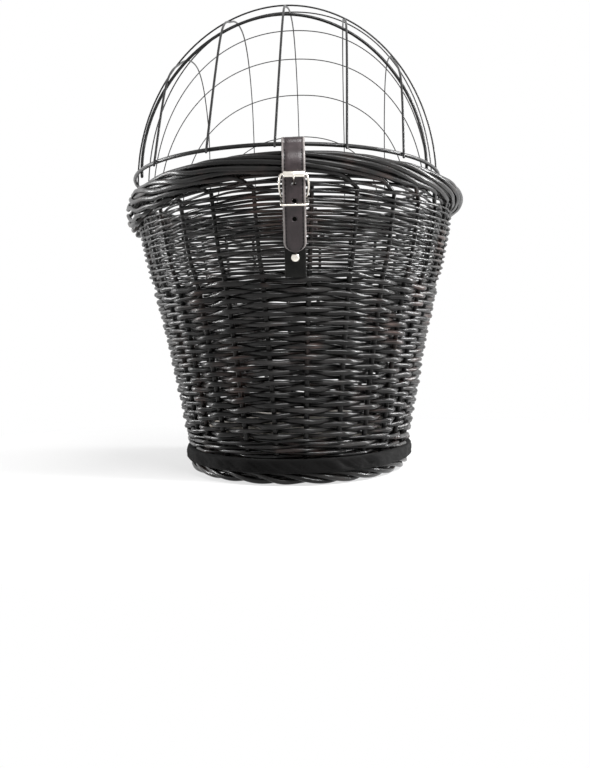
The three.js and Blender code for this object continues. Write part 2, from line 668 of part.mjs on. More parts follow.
addPiece(lid, 'lid_ring', lidRing(), BLACK_WIRE);
HOOPS.forEach((hoop) => addPiece(lid, hoop.name, hoopWire(hoop), BLACK_WIRE));
RIB_PLACES.forEach((place, i) => addPiece(lid, `lid_rib_${i + 1}`, ribWire(place), BLACK_WIRE));

// Leather loops that hang the ring on the border and turn about the border's middle
function hingeLoop(x) {
  const border = new THREE.Vector2(HINGE_Y, BORDER_Z);
  const ringPlace = ringAt(Math.acos(x / RING_HALF_WIDTH));
  const ring = new THREE.Vector2(ringPlace.y, ringPlace.z);
  const edges = [-1, 1].map((side) => ringAt(Math.acos((x + side * LOOP_WIDTH / 2) / RING_HALF_WIDTH)).y);
  const slot = RING_RADIUS + LEATHER_GAP + Math.abs(edges[1] - edges[0]) / 2;
  const loop = beltOutline(THREE.Shape, border, LOOP_RADIUS + LOOP_LEATHER, ring, slot + LOOP_LEATHER);
  loop.holes.push(beltOutline(THREE.Path, border, LOOP_RADIUS, ring, slot));
  return sideways(loop, LOOP_WIDTH, x);
}

addPiece(lid, 'hinge_loop_left', hingeLoop(-LOOP_X), LEATHER);
addPiece(lid, 'hinge_loop_right', hingeLoop(LOOP_X), LEATHER);

// Strap, anchor and buckle are drawn in the Y-Z plane at x = 0, with -Y outwards.
const borderNear = new THREE.Vector2(-RIM_HALF_LENGTH, BORDER_Z);
const hingeBarY = nearWallY(BUCKLE_HINGE_Z) - ANCHOR_THICKNESS - BUCKLE_HINGE_OUT;
const hinge = new THREE.Vector2(hingeBarY, BUCKLE_HINGE_Z);
const hingeEyeRadius = BUCKLE_WIRE + TURN_GAP;
const hingeEyeOuter = hingeEyeRadius + ANCHOR_THICKNESS;

// The anchor runs from the buckle's hinge bar down to the rivet, then on down the wall.
const rivetNormal = nearWallNormal(RIVET_Z);
const anchorStand = ANCHOR_THICKNESS / 2 + LEATHER_GAP;
const anchorAtRivet = new THREE.Vector2(nearWallY(RIVET_Z), RIVET_Z);
anchorAtRivet.addScaledVector(rivetNormal, anchorStand);
const anchorFoot = new THREE.Vector2(nearWallY(ANCHOR_END_Z), ANCHOR_END_Z);
anchorFoot.addScaledVector(rivetNormal, anchorStand);
const anchorDown = anchorAtRivet.clone().sub(hinge).normalize();
const anchorOut = new THREE.Vector2(anchorDown.y, -anchorDown.x);
const anchorTop = hinge.clone().addScaledVector(anchorOut, -(hingeEyeRadius + ANCHOR_THICKNESS / 2));
const strapOverAnchor = ANCHOR_THICKNESS / 2 + LEATHER_GAP + STRAP_THICKNESS / 2;
const strapOverHinge = hingeEyeOuter + 2 * LEATHER_GAP + STRAP_THICKNESS / 2;
const strapAtHinge = hinge.clone().addScaledVector(anchorOut, strapOverHinge);

// A point on the anchor's middle, found by height.
function onAnchor(z) {
  const t = (z - anchorAtRivet.y) / (anchorTop.y - anchorAtRivet.y);
  return anchorAtRivet.clone().lerp(anchorTop, t);
}

const strapTip = onAnchor(STRAP_TIP_Z).addScaledVector(anchorOut, strapOverAnchor + RIVET_HEAD_HEIGHT / 2);

// A point on the strap's tail, found by its share of the way from the hinge bar to the tip.
const onTail = (share) => strapAtHinge.clone().lerp(strapTip, share);
const tailShare = (z) => (z - strapAtHinge.y) / (strapTip.y - strapAtHinge.y);

// The strap's middle follows the border's roll down to where a straight run to the hinge bar leaves it.
const overBorder = BORDER_RADIUS + LEATHER_GAP + STRAP_THICKNESS / 2;
const toHinge = strapAtHinge.clone().sub(borderNear);
const leaveAngle = toHinge.angle() - Math.acos(overBorder / toHinge.length());

function overRoll(angle) {
  const out = new THREE.Vector2(Math.cos(angle), Math.sin(angle));
  return borderNear.clone().addScaledVector(out, overBorder);
}

const strapLeaves = overRoll(leaveAngle);
const rollerShare = (ROLLER_Z - strapLeaves.y) / (strapAtHinge.y - strapLeaves.y);
const strapAtRoller = strapLeaves.clone().lerp(strapAtHinge, rollerShare);
const strapRun = strapAtHinge.clone().sub(strapLeaves).normalize();
const rollerOut = (STRAP_THICKNESS / 2 + LEATHER_GAP + ROLLER_RADIUS) / Math.abs(strapRun.y);
const roller = new THREE.Vector2(strapAtRoller.x - rollerOut, ROLLER_Z);

// The prong runs up behind the strap, out through its hole and on to the front of the roller.
const prongRingInner = BUCKLE_WIRE + TURN_GAP;
const prongRingOuter = prongRingInner + PRONG_RING_WALL;
const prongHole = strapAtHinge.clone().lerp(strapAtRoller, PRONG_HOLE_SHARE);

function underRoller(degrees) {
  const clear = ROLLER_RADIUS + BUCKLE_WIRE + LEATHER_GAP;
  const angle = THREE.MathUtils.degToRad(degrees);
  return new THREE.Vector2(roller.x - clear * Math.sin(angle), roller.y - clear * Math.cos(angle));
}

const prongCourse = [
  hinge.clone().add(new THREE.Vector2(0, prongRingInner + PRONG_RING_WALL / 2)),
  prongHole,
  ...PRONG_UNDER_ROLLER.map(underRoller),
].map((p) => new THREE.Vector3(0, p.x, p.y));

function lidStrap() {
  const ringY = ringNearStrap();
  const eye = new THREE.Vector2(ringY, RING_Z);
  const eyeOuter = STRAP_EYE_RADIUS + STRAP_EYE_LEATHER;
  const eyeRing = new THREE.Shape().absarc(eye.x, eye.y, eyeOuter, 0, 2 * Math.PI, false);
  const ringHole = new THREE.Path().absarc(eye.x, eye.y, STRAP_EYE_RADIUS, 0, 2 * Math.PI, true);
  eyeRing.holes.push(ringHole);
  const start = eye.clone().add(new THREE.Vector2(-STRAP_EYE_RADIUS - STRAP_EYE_LEATHER / 2, 0));
  const overBorderPoints = Array.from({ length: ROLL_STEPS }, (_, i) => {
    return overRoll(THREE.MathUtils.lerp(STRAP_MEETS_ROLL, leaveAngle, i / (ROLL_STEPS - 1)));
  });
  const course = [start, ...overBorderPoints, strapAtRoller, strapAtHinge, strapTip];
  const tail = sideways(ribbonShape(course, STRAP_THICKNESS), STRAP_WIDTH);
  const loop = sideways(eyeRing, STRAP_WIDTH);
  const ringSpace = sideways(
    new THREE.Shape().absarc(eye.x, eye.y, STRAP_EYE_RADIUS, 0, 2 * Math.PI, false), 2 * STRAP_WIDTH);
  const prongWay = wire(prongCourse, BUCKLE_WIRE + LEATHER_GAP, 2);
  return cut(joined(tail, loop), ringSpace, prongWay, ...tipCorners(), ...strapHoles());
}

// The ring's place on the strap's middle line, with the lid's small yaw.
function ringNearStrap() {
  const inverse = lid.matrixWorld.clone().invert();
  const localX = new THREE.Vector3(0, -RING_HALF_LENGTH, 0).applyMatrix4(inverse).x;
  return ringAt(-Math.acos(localX / RING_HALF_WIDTH)).applyMatrix4(lid.matrixWorld).y;
}

// Two corner pieces that leave the strap's end pointed with a round nose.
function tipCorners() {
  const half = STRAP_WIDTH / 2;
  const reach = 4 * STRAP_THICKNESS;
  return [-1, 1].map((side) => {
    const corner = new THREE.Shape();
    corner.moveTo(side * (half + 1), STRAP_TIP_Z + STRAP_POINT);
    corner.lineTo(side * half, STRAP_TIP_Z + STRAP_POINT);
    corner.quadraticCurveTo(side * half, STRAP_TIP_Z + STRAP_NOSE, 0, STRAP_TIP_Z);
    corner.lineTo(0, STRAP_TIP_Z - reach);
    corner.lineTo(side * (half + 1), STRAP_TIP_Z - reach);
    const options = { depth: 4 * reach, bevelEnabled: false, curveSegments: 5 };
    const block = new THREE.ExtrudeGeometry(corner, options);
    return block.rotateX(Math.PI / 2).translate(0, strapTip.x + 2 * reach, 0);
  });
}

// Spare holes along the strap's middle, below the one that the prong comes through.
function strapHoles() {
  return Array.from({ length: SPARE_HOLES }, (_, i) => {
    const z = prongHole.y - (i + 1) * HOLE_PITCH;
    const hole = new THREE.CylinderGeometry(HOLE_RADIUS, HOLE_RADIUS, 10 * STRAP_THICKNESS, 8);
    return hole.translate(0, onTail(tailShare(z)).x, z);
  });
}

function anchorStrap() {
  const tail = sideways(ribbonShape([anchorTop, anchorAtRivet, anchorFoot], ANCHOR_THICKNESS), ANCHOR_WIDTH);
  const eye = new THREE.Shape().absarc(hinge.x, hinge.y, hingeEyeOuter, 0, 2 * Math.PI, false);
  const loop = sideways(eye, ANCHOR_WIDTH);
  const bar = new THREE.Shape().absarc(hinge.x, hinge.y, hingeEyeRadius, 0, 2 * Math.PI, false);
  const barSpace = sideways(bar, 2 * ANCHOR_WIDTH);
  const slotWidth = PRONG_WIDTH + 2 * LEATHER_GAP;
  const slotDepth = 2 * hingeEyeOuter;
  const prongSlot = new THREE.BoxGeometry(slotWidth, slotDepth, 2 * hingeEyeOuter + 2 * LEATHER_GAP);
  prongSlot.translate(0, hinge.x + BUCKLE_WIRE + 2 * LEATHER_GAP - slotDepth / 2, hinge.y);
  const prongTurn = new THREE.Shape();
  prongTurn.absarc(hinge.x, hinge.y, prongRingOuter + LEATHER_GAP, 0, 2 * Math.PI, false);
  const prongSpace = sideways(prongTurn, slotWidth);
  const rivetHole = placeAtRivet(new THREE.CylinderGeometry(
    RIVET_SHANK_RADIUS + LEATHER_GAP, RIVET_SHANK_RADIUS + LEATHER_GAP, 4 * WALL_THICKNESS, BOLT_SIDES));
  return cut(joined(tail, loop), barSpace, prongSlot, prongSpace, rivetHole);
}

// The buckle's frame: one wire, drawn flat between the hinge bar and the roller's bar
const frameReach = roller.clone().sub(hinge);
const frameUp = frameReach.clone().normalize();

function onFrame(x, s) {
  const place = hinge.clone().addScaledVector(frameUp, s);
  return new THREE.Vector3(x, place.x, place.y);
}

function buckleFrame() {
  const length = frameReach.length();
  const half = STRAP_WIDTH / 2 + LEATHER_GAP + BUCKLE_WIRE;
  const corner = BUCKLE_CORNER;
  const outline = new THREE.Shape();
  outline.moveTo(-half + corner, 0);
  outline.lineTo(half - corner, 0);
  outline.quadraticCurveTo(half, 0, half, corner);
  outline.quadraticCurveTo(half + 2 * BUCKLE_BULGE, length / 2, half, length - corner);
  outline.quadraticCurveTo(half, length, half - corner, length);
  outline.lineTo(-half + corner, length);
  outline.quadraticCurveTo(-half, length, -half, length - corner);
  outline.quadraticCurveTo(-half - 2 * BUCKLE_BULGE, length / 2, -half, corner);
  outline.quadraticCurveTo(-half, 0, -half + corner, 0);
  const points = outline.getPoints(4).slice(0, -1).map((p) => onFrame(p.x, p.y));
  const normal = new THREE.Vector3(0, frameUp.y, -frameUp.x).negate();
  return wireLoop(points, normal, BUCKLE_WIRE);
}

function tubeAlongX(inner, outer, length, place) {
  const half = length / 2;
  const profile = [[inner, -half], [outer, -half], [outer, half], [inner, half], [inner, -half]];
  return turned(profile, BOLT_SIDES).rotateZ(-Math.PI / 2).translate(0, place.x, place.y);
}

function buckleProng() {
  const shaft = wire(prongCourse, BUCKLE_WIRE, 2);
  const ring = tubeAlongX(prongRingInner, prongRingOuter, PRONG_WIDTH, hinge);
  const barSpace = sideways(
    new THREE.Shape().absarc(hinge.x, hinge.y, prongRingInner, 0, 2 * Math.PI, false), 2 * PRONG_WIDTH);
  return cut(joined(ring, shaft), barSpace);
}

// The keeper: a rectangular wire round both straps, square to the strap's tail
function strapKeeper() {
  const tail = onTail(tailShare(KEEPER_Z));
  const along = strapTip.clone().sub(strapAtHinge).normalize();
  const out = new THREE.Vector2(along.y, -along.x);
  const onAnchorLine = onAnchor(KEEPER_Z);
  const front = STRAP_THICKNESS / 2 + LEATHER_GAP + KEEPER_WIRE;
  const gapToAnchor = tail.clone().sub(onAnchorLine).dot(out);
  const back = gapToAnchor + ANCHOR_THICKNESS / 2 + LEATHER_GAP + KEEPER_WIRE;
  const half = STRAP_WIDTH / 2 + LEATHER_GAP + KEEPER_WIRE;
  const corner = KEEPER_CORNER;
  const outline = new THREE.Shape();
  outline.moveTo(-half + corner, -back);
  outline.lineTo(half - corner, -back);
  outline.quadraticCurveTo(half, -back, half, -back + corner);
  outline.lineTo(half, front - corner);
  outline.quadraticCurveTo(half, front, half - corner, front);
  outline.lineTo(-half + corner, front);
  outline.quadraticCurveTo(-half, front, -half, front - corner);
  outline.lineTo(-half, -back + corner);
  outline.quadraticCurveTo(-half, -back, -half + corner, -back);
  const points = outline.getPoints(3).slice(0, -1).map((p) => {
    const place = tail.clone().addScaledVector(out, p.y);
    return new THREE.Vector3(p.x, place.x, place.y);
  });
  return wireLoop(points, new THREE.Vector3(0, -along.x, -along.y), KEEPER_WIRE);
}

// The rivet's own +Y points out of the wall, with 0 on the wall's outer face.
function strapRivet() {
  const headSeat = 3 * LEATHER_GAP + ANCHOR_THICKNESS;
  const tailSeat = -WALL_THICKNESS - 2 * LEATHER_GAP - WASHER_THICKNESS;
  return placeAtRivet(turned([
    [0, tailSeat - WASHER_THICKNESS],
    [RIVET_TAIL_RADIUS, tailSeat - WASHER_THICKNESS],
    [RIVET_TAIL_RADIUS, tailSeat],
    [RIVET_SHANK_RADIUS, tailSeat],
    [RIVET_SHANK_RADIUS, headSeat],
    [RIVET_HEAD_RADIUS, headSeat],
    [RIVET_SHOULDER_RADIUS, headSeat + RIVET_SHOULDER_HEIGHT],
    [0, headSeat + RIVET_HEAD_HEIGHT],
  ], BOLT_SIDES));
}

function rivetWasher() {
  const inner = RIVET_SHANK_RADIUS + LEATHER_GAP;
  const top = -WALL_THICKNESS - LEATHER_GAP;
  const bottom = top - WASHER_THICKNESS;
  return placeAtRivet(turned([
    [inner, bottom], [WASHER_RADIUS, bottom], [WASHER_RADIUS, top], [inner, top], [inner, bottom],
  ], BOLT_SIDES));
}

addPiece(basket, 'lid_strap', lidStrap(), LEATHER);
addPiece(basket, 'anchor_strap', anchorStrap(), LEATHER);
addPiece(basket, 'buckle_frame', buckleFrame(), NICKEL);
const rollerTube = tubeAlongX(BUCKLE_WIRE + TURN_GAP, ROLLER_RADIUS, ROLLER_LENGTH, roller);
addPiece(basket, 'buckle_roller', rollerTube, NICKEL);
addPiece(basket, 'buckle_prong', buckleProng(), NICKEL);
addPiece(basket, 'strap_keeper', strapKeeper(), NICKEL);
addPiece(basket, 'strap_rivet', strapRivet(), NICKEL);
addPiece(basket, 'rivet_washer', rivetWasher(), ZINC);

export default basket;
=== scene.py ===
"""Looks for a willow basket with a hinged wire lid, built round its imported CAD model.

Shapes are worked out in millimetres, as whole arrays, and go into Blender in metres.
"""

import logging
from dataclasses import dataclass, field
from enum import Enum
from functools import cached_property

import bpy
import numpy as np
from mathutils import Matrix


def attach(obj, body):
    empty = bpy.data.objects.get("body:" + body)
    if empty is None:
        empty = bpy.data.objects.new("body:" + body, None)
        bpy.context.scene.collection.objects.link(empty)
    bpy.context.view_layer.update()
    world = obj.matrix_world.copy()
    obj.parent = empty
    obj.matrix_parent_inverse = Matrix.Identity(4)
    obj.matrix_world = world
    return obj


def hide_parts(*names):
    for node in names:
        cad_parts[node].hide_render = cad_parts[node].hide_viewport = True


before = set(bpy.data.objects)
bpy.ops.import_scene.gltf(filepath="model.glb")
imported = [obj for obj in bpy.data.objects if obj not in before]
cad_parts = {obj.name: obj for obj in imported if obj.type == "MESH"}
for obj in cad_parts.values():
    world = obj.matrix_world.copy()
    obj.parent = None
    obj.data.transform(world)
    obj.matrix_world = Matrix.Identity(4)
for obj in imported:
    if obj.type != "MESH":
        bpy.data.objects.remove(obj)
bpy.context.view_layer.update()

LOG = logging.getLogger("basket")
Array = np.ndarray
Colour = tuple[float, float, float]
MM = 0.001
TURN = 2 * np.pi
ACROSS = np.array([1.0, 0.0, 0.0])
ALONG = np.array([0.0, 1.0, 0.0])
UP = np.array([0.0, 0.0, 1.0])
COURSE = "course"
SHADE = "shade"
DOME_TURN = np.array([0.25, 0.6, 0.95]) * np.pi / 2  # steps up a rod's domed end
SEAM_HALF_WIDTH = 0.5
SEAM_DEPTH = 0.32
STITCH_RISE = 1.6  # height of a stitch over its own ends, in its radius
STITCH_SUNK = 0.8  # depth of those ends in the leather, in its radius
STAIN_SPREAD = (1.4, 2.2)  # beta distribution of how grey a stained rod is
ZIGZAG = 0.1  # how far a randed row is drawn from a cosine towards a zigzag
WALING_FRONT = 1.15  # how far a waled row may stand out, in its reach
NOISE_BAND = (0.3, 0.7)  # where most values of a noise lie
MOTTLE_BAND = (0.35, 0.75)  # where a noise tells two colours apart
AXIS_RADIUS = 0.02  # of the caps that close a turned shape at its axis


class Body(Enum):
    """The CAD bodies that the pieces ride on."""

    BASKET = "basket"
    LID = "lid"
    BUCKLE = "buckle"
    ROLLER = "roller"
    PRONG = "prong"


class Slot(Enum):
    """The material slots that the finishes stand for."""

    WILLOW = "willow"
    BAND = "band_fabric"
    CUSHION = "cushion_cloth"
    PLYWOOD = "plywood"
    WIRE = "black_wire"
    LEATHER = "leather"
    NICKEL = "nickel"
    ZINC = "zinc"


def lerp(start: Array | float, end: Array | float, share: Array | float) -> Array | float:
    """A value part of the way from start to end."""
    return start + (end - start) * share


def smooth(share: Array) -> Array:
    """A share from 0 to 1 that starts and ends gently: 3 s^2 - 2 s^3."""
    held = np.clip(share, 0, 1)
    return held * held * (3 - 2 * held)


def unit(vectors: Array) -> Array:
    """Vectors brought to length 1 along the last axis."""
    return vectors / np.linalg.norm(vectors, axis=-1, keepdims=True)


def oval_points(half_width: Array, half_length: Array, angle: Array, offset: Array, height: Array) -> Array:
    """Points of upright ovals, pushed outwards square to the oval.

    Point = (a cos t, b sin t) + offset times the unit normal, which runs along (b cos t, a sin t).

    Args:
        half_width: Half size on X.
        half_length: Half size on Y.
        angle: Angle round the oval.
        offset: Distance outwards.
        height: Height of the point.

    Returns:
        Points, with the arguments' common shape and a last axis of 3.
    """
    cosine, sine = np.cos(angle), np.sin(angle)
    size = np.hypot(half_length * cosine, half_width * sine)
    x = half_width * cosine + offset * half_length * cosine / size
    y = half_length * sine + offset * half_width * sine / size
    return np.stack(np.broadcast_arrays(x, y, height), -1)


def closed_noise(rng: np.random.Generator, count: int, share: Array, waves: int) -> Array:
    """Noise that closes on itself round a ring: a sum of cosines with random phases and strengths.

    Args:
        rng: Source of the random numbers.
        count: How many noises are made.
        share: Places round the ring, from 0 to 1.
        waves: The most waves round the ring.

    Returns:
        Values of about unit spread, one row for each noise.
    """
    order = np.arange(1, waves + 1)
    phase = rng.uniform(0, TURN, (count, 1, waves))
    strength = rng.normal(size=(count, 1, waves)) * np.sqrt(2 / waves)
    return (strength * np.cos(TURN * share[None, :, None] * order + phase)).sum(-1)


def smooth_course(knots: Array, steps: int) -> Array:
    """A curve through points, as a centripetal Catmull-Rom spline.

    Each stretch is a cubic whose end slopes come from the neighbouring points, timed by the square root of
    the distances between them.

    Args:
        knots: Points that the curve passes through, in order.
        steps: Samples for each stretch.

    Returns:
        Points along the curve.
    """
    ends = np.concatenate([2 * knots[:1] - knots[1:2], knots, 2 * knots[-1:] - knots[-2:-1]])
    before, start, end, after = ends[:-3], ends[1:-2], ends[2:-1], ends[3:]
    pace = np.sqrt(np.linalg.norm(np.diff(ends, axis=0), axis=-1))[:, None]
    p0, p1, p2 = pace[:-2], pace[1:-1], pace[2:]
    leave = p1 * ((start - before) / p0 - (end - before) / (p0 + p1) + (end - start) / p1)
    arrive = p1 * ((end - start) / p1 - (after - start) / (p1 + p2) + (after - end) / p2)
    t = (np.arange(steps) / steps)[None, :, None]
    straight = lerp(start[:, None], end[:, None], smooth(t))
    curve = straight + leave[:, None] * t * (1 - t) ** 2 + arrive[:, None] * t * t * (t - 1)
    return np.concatenate([curve.reshape(-1, knots.shape[-1]), knots[-1:]])


def bend(start: Array, control: Array, end: Array, steps: int) -> Array:
    """A quadratic curve from start to end, drawn towards the control point, without its last point."""
    t = (np.arange(steps) / steps)[:, None]
    return (1 - t) ** 2 * start + 2 * t * (1 - t) * control + t * t * end


def evenly(path: Array, count: int, closed: bool = False) -> Array:
    """A path sampled again at even distances.

    Args:
        path: Points of the path.
        count: How many points to give.
        closed: Whether the path runs back to its first point.

    Returns:
        Points at even distances. A closed path's first point isn't repeated.
    """
    course = np.concatenate([path, path[:1]]) if closed else path
    length = np.concatenate([[0], np.cumsum(np.linalg.norm(np.diff(course, axis=0), axis=-1))])
    wanted = np.linspace(0, length[-1], count, endpoint=not closed)
    return np.stack([np.interp(wanted, length, course[:, axis]) for axis in range(course.shape[-1])], -1)


def sweep(path: Array, profile: Array, reference: Array, closed: bool = False) -> Array:
    """Points of a profile carried along a path.

    Point = path + p side + q up, where side = tangent x reference and up = side x tangent.

    Args:
        path: Points, as (..., n, 3).
        profile: Pairs p, q, as (k, 2) or (..., n, k, 2), anticlockwise in side and up.
        reference: A direction that the path never runs along.
        closed: Whether the path runs back to its first point.

    Returns:
        Points, as (..., n, k, 3).
    """
    around = np.roll(path, -1, -2) - np.roll(path, 1, -2)
    tangent = unit(around if closed else np.gradient(path, axis=-2))
    side = unit(np.cross(tangent, reference))
    up = np.cross(side, tangent)
    return path[..., None, :] + profile[..., :1] * side[..., None, :] + profile[..., 1:] * up[..., None, :]


def rod(path: Array, radius: Array | float, sides: int, reference: Array, closed: bool = False) -> Array:
    """Points of a round rod: a circle of the given radius carried along a path."""
    angle = np.arange(sides) * TURN / sides
    circle = np.stack([np.cos(angle), np.sin(angle)], -1)
    return sweep(path, np.asarray(radius)[..., None, None] * circle, reference, closed)


def domed_rod(path: Array, radius: Array | float, sides: int, reference: Array) -> Array:
    """Points of a round rod with domed ends: past each end, step out r sin a and narrow to r cos a.

    Args:
        path: Points, as (..., n, 3).
        radius: One radius, or one for each point.
        sides: Points round the rod.
        reference: A direction that the path never runs along, or one for each point.

    Returns:
        Points, as (..., n + 6, sides, 3).
    """
    radii = np.broadcast_to(radius, path.shape[:-1])
    first, last = radii[..., :1], radii[..., -1:]
    back = unit(path[..., :1, :] - path[..., 1:2, :])
    ahead = unit(path[..., -1:, :] - path[..., -2:-1, :])
    head = path[..., :1, :] + back * (first * np.sin(DOME_TURN[::-1]))[..., None]
    tail = path[..., -1:, :] + ahead * (last * np.sin(DOME_TURN))[..., None]
    whole = np.concatenate([head, path, tail], -2)
    widths = np.concatenate([first * np.cos(DOME_TURN[::-1]), radii, last * np.cos(DOME_TURN)], -1)
    if reference.ndim > 1:
        at_head = np.repeat(reference[..., :1, :], len(DOME_TURN), -2)
        at_tail = np.repeat(reference[..., -1:, :], len(DOME_TURN), -2)
        reference = np.concatenate([at_head, reference, at_tail], -2)
    return rod(whole, widths, sides, reference)


def turned(profile: Array, sides: int) -> Array:
    """Points of a turned shape about Z: each pair of a radius and a height goes round in a circle."""
    angle = np.arange(sides) * TURN / sides
    radius, height = profile[:, :1], profile[:, 1:]
    return np.stack([radius * np.cos(angle), radius * np.sin(angle), height + 0 * angle], -1)


def turned_round(grid: Array, axis: Array, place: Array) -> Array:
    """A grid about Z, stood on another axis in the Y-Z plane and moved to its place."""
    return grid[..., :1] * ACROSS + grid[..., 1:2] * np.cross(axis, ACROSS) + grid[..., 2:] * axis + place


def belt_profile(width: float, thickness: float, rounding: float, groove: float = 0.0,
                 seam: float = 0.0) -> Array:
    """A leather strip's section: a flat strip with round corners, a groove along each edge and sunk seams.

    Args:
        width: Size on the up axis.
        thickness: Size on the side axis.
        rounding: Radius of the corners.
        groove: Depth of the line between two layers, on the edges.
        seam: Distance of the seams from the edges. If it is 0, the faces are plain.

    Returns:
        Pairs on side and up, anticlockwise.
    """
    corner = np.linspace(0, np.pi / 2, 4)
    half_t, half_w = thickness / 2 - rounding, width / 2 - rounding
    quarter = np.stack([half_t + rounding * np.cos(corner), half_w + rounding * np.sin(corner)], -1)
    top = np.concatenate([quarter, [[0, width / 2 - groove]], quarter[::-1] * [-1, 1]])
    sewn = width / 2 - seam
    inner = half_w * np.array([0.75, 0.5, 0.25, 0.1])
    if seam:
        inner = np.array([sewn + SEAM_HALF_WIDTH, sewn, sewn - SEAM_HALF_WIDTH, sewn / 2])
    flat = np.concatenate([inner, -inner[::-1]])
    face = np.full(len(flat), thickness / 2)
    face[[1, -2]] -= SEAM_DEPTH if seam else 0.0
    left = np.stack([-face, flat], -1)
    return np.concatenate([top, left, -top, -left])


def pale_edges(section: Array, width: float, depth: float) -> Array:
    """The shade round a strip's section: 1 within a depth of its edges and 0 elsewhere."""
    return (np.abs(section[:, 1]) > width / 2 - depth).astype(float)


class Shape:
    """Grids of points, with faces, courses and shades, that become one Blender object."""

    def __init__(self) -> None:
        """Starts with nothing in it."""
        self.points: list[Array] = []
        self.loops: list[Array] = []
        self.sizes: list[Array] = []
        self.courses: list[Array] = []
        self.shades: list[Array] = []
        self.count = 0

    def add(self, grid: Array, closed: bool = False, shade: Array | float = 0.5) -> "Shape":
        """Adds one grid, or a batch of grids, that wraps round on its columns.

        The course of a corner is its distance along the rows and round the columns, in metres.

        Args:
            grid: Points, as (..., rows, columns, 3).
            closed: Whether the last row joins the first. If not, both ends are capped.
            shade: A value from 0 to 1 for each point.

        Returns:
            The shape itself.
        """
        rows, columns = grid.shape[-3:-1]
        batch = grid.reshape(-1, rows, columns, 3)
        self.points.append(batch.reshape(-1, 3))
        self.shades.append(np.broadcast_to(shade, grid.shape[:-1]).ravel())
        spans = rows if closed else rows - 1
        i, j = np.meshgrid(np.arange(spans), np.arange(columns), indexing="ij")
        corner_row = np.stack([i, i + 1, i + 1, i], -1)
        corner_column = np.stack([j, j, j + 1, j + 1], -1)
        quads = (corner_row % rows) * columns + corner_column % columns
        starts = self.count + np.arange(len(batch)) * rows * columns
        self.loops.append((starts[:, None, None, None] + quads).ravel())
        self.sizes.append(np.full(len(batch) * spans * columns, 4))
        along = np.linalg.norm(np.roll(batch, -1, 1) - batch, axis=-1).mean(2)
        around = np.linalg.norm(np.roll(batch, -1, 2) - batch, axis=-1).max(1)
        start = np.zeros((len(batch), 1))
        along = np.concatenate([start, np.cumsum(along, 1)], 1)
        around = np.concatenate([start, np.cumsum(around, 1)], 1)
        course = np.stack([along[:, corner_row], around[:, corner_column]], -1)
        self.courses.append(course.reshape(-1, 2) * MM)
        if not closed:
            rim = np.arange(columns)
            caps = np.stack([rim, rim[::-1] + (rows - 1) * columns])
            self.loops.append((starts[:, None, None] + caps).ravel())
            self.sizes.append(np.full(2 * len(batch), columns))
            self.courses.append(np.zeros((2 * len(batch) * columns, 2)))
        self.count += len(batch) * rows * columns
        return self

    def add_ring(self, path: Array, radius: Array | float, sides: int, reference: Array,
                 shade: Array | float = 0.5) -> "Shape":
        """Adds a round rod, or a batch of them, that runs back to its own start.

        Args:
            path: Points, as (..., n, 3).
            radius: One radius, or one for each point.
            sides: Points round the rod.
            reference: A direction that the path never runs along.
            shade: A value from 0 to 1 for each point.

        Returns:
            The shape itself.
        """
        return self.add(rod(path, radius, sides, reference, closed=True), closed=True, shade=shade)

    def build(self, name: str) -> bpy.types.Object:
        """Puts the grids into one smooth mesh.

        Args:
            name: The object's name.

        Returns:
            The new object, at the origin.
        """
        mesh = bpy.data.meshes.new(name)
        points, loops, sizes = (np.concatenate(part) for part in (self.points, self.loops, self.sizes))
        mesh.vertices.add(len(points))
        mesh.vertices.foreach_set("co", (points * MM).astype(np.float32).ravel())
        mesh.loops.add(len(loops))
        mesh.loops.foreach_set("vertex_index", loops.astype(np.int32))
        mesh.polygons.add(len(sizes))
        mesh.polygons.foreach_set("loop_start", (np.cumsum(sizes) - sizes).astype(np.int32))
        mesh.polygons.foreach_set("use_smooth", np.ones(len(sizes), bool))
        mesh.update(calc_edges=True)
        courses = np.concatenate(self.courses).astype(np.float32)
        mesh.uv_layers.new(name=COURSE).data.foreach_set("uv", courses.ravel())
        shade = mesh.attributes.new(SHADE, "FLOAT", "POINT")
        shade.data.foreach_set("value", np.concatenate(self.shades).astype(np.float32))
        mesh.validate()
        piece = bpy.data.objects.new(name, mesh)
        bpy.context.scene.collection.objects.link(piece)
        return piece


def punch(piece: bpy.types.Object, *tools: bpy.types.Object) -> None:
    """Cuts tools out of a piece, keeps the result as the piece's mesh and deletes the tools.

    Args:
        piece: The object that is cut.
        tools: Closed objects that are cut away.
    """
    for tool in tools:
        cut = piece.modifiers.new(tool.name, "BOOLEAN")
        cut.operation, cut.solver, cut.object = "DIFFERENCE", "EXACT", tool
    evaluated = piece.evaluated_get(bpy.context.evaluated_depsgraph_get())
    result = bpy.data.meshes.new_from_object(evaluated)
    piece.modifiers.clear()
    piece.data = result
    for tool in tools:
        bpy.data.objects.remove(tool)


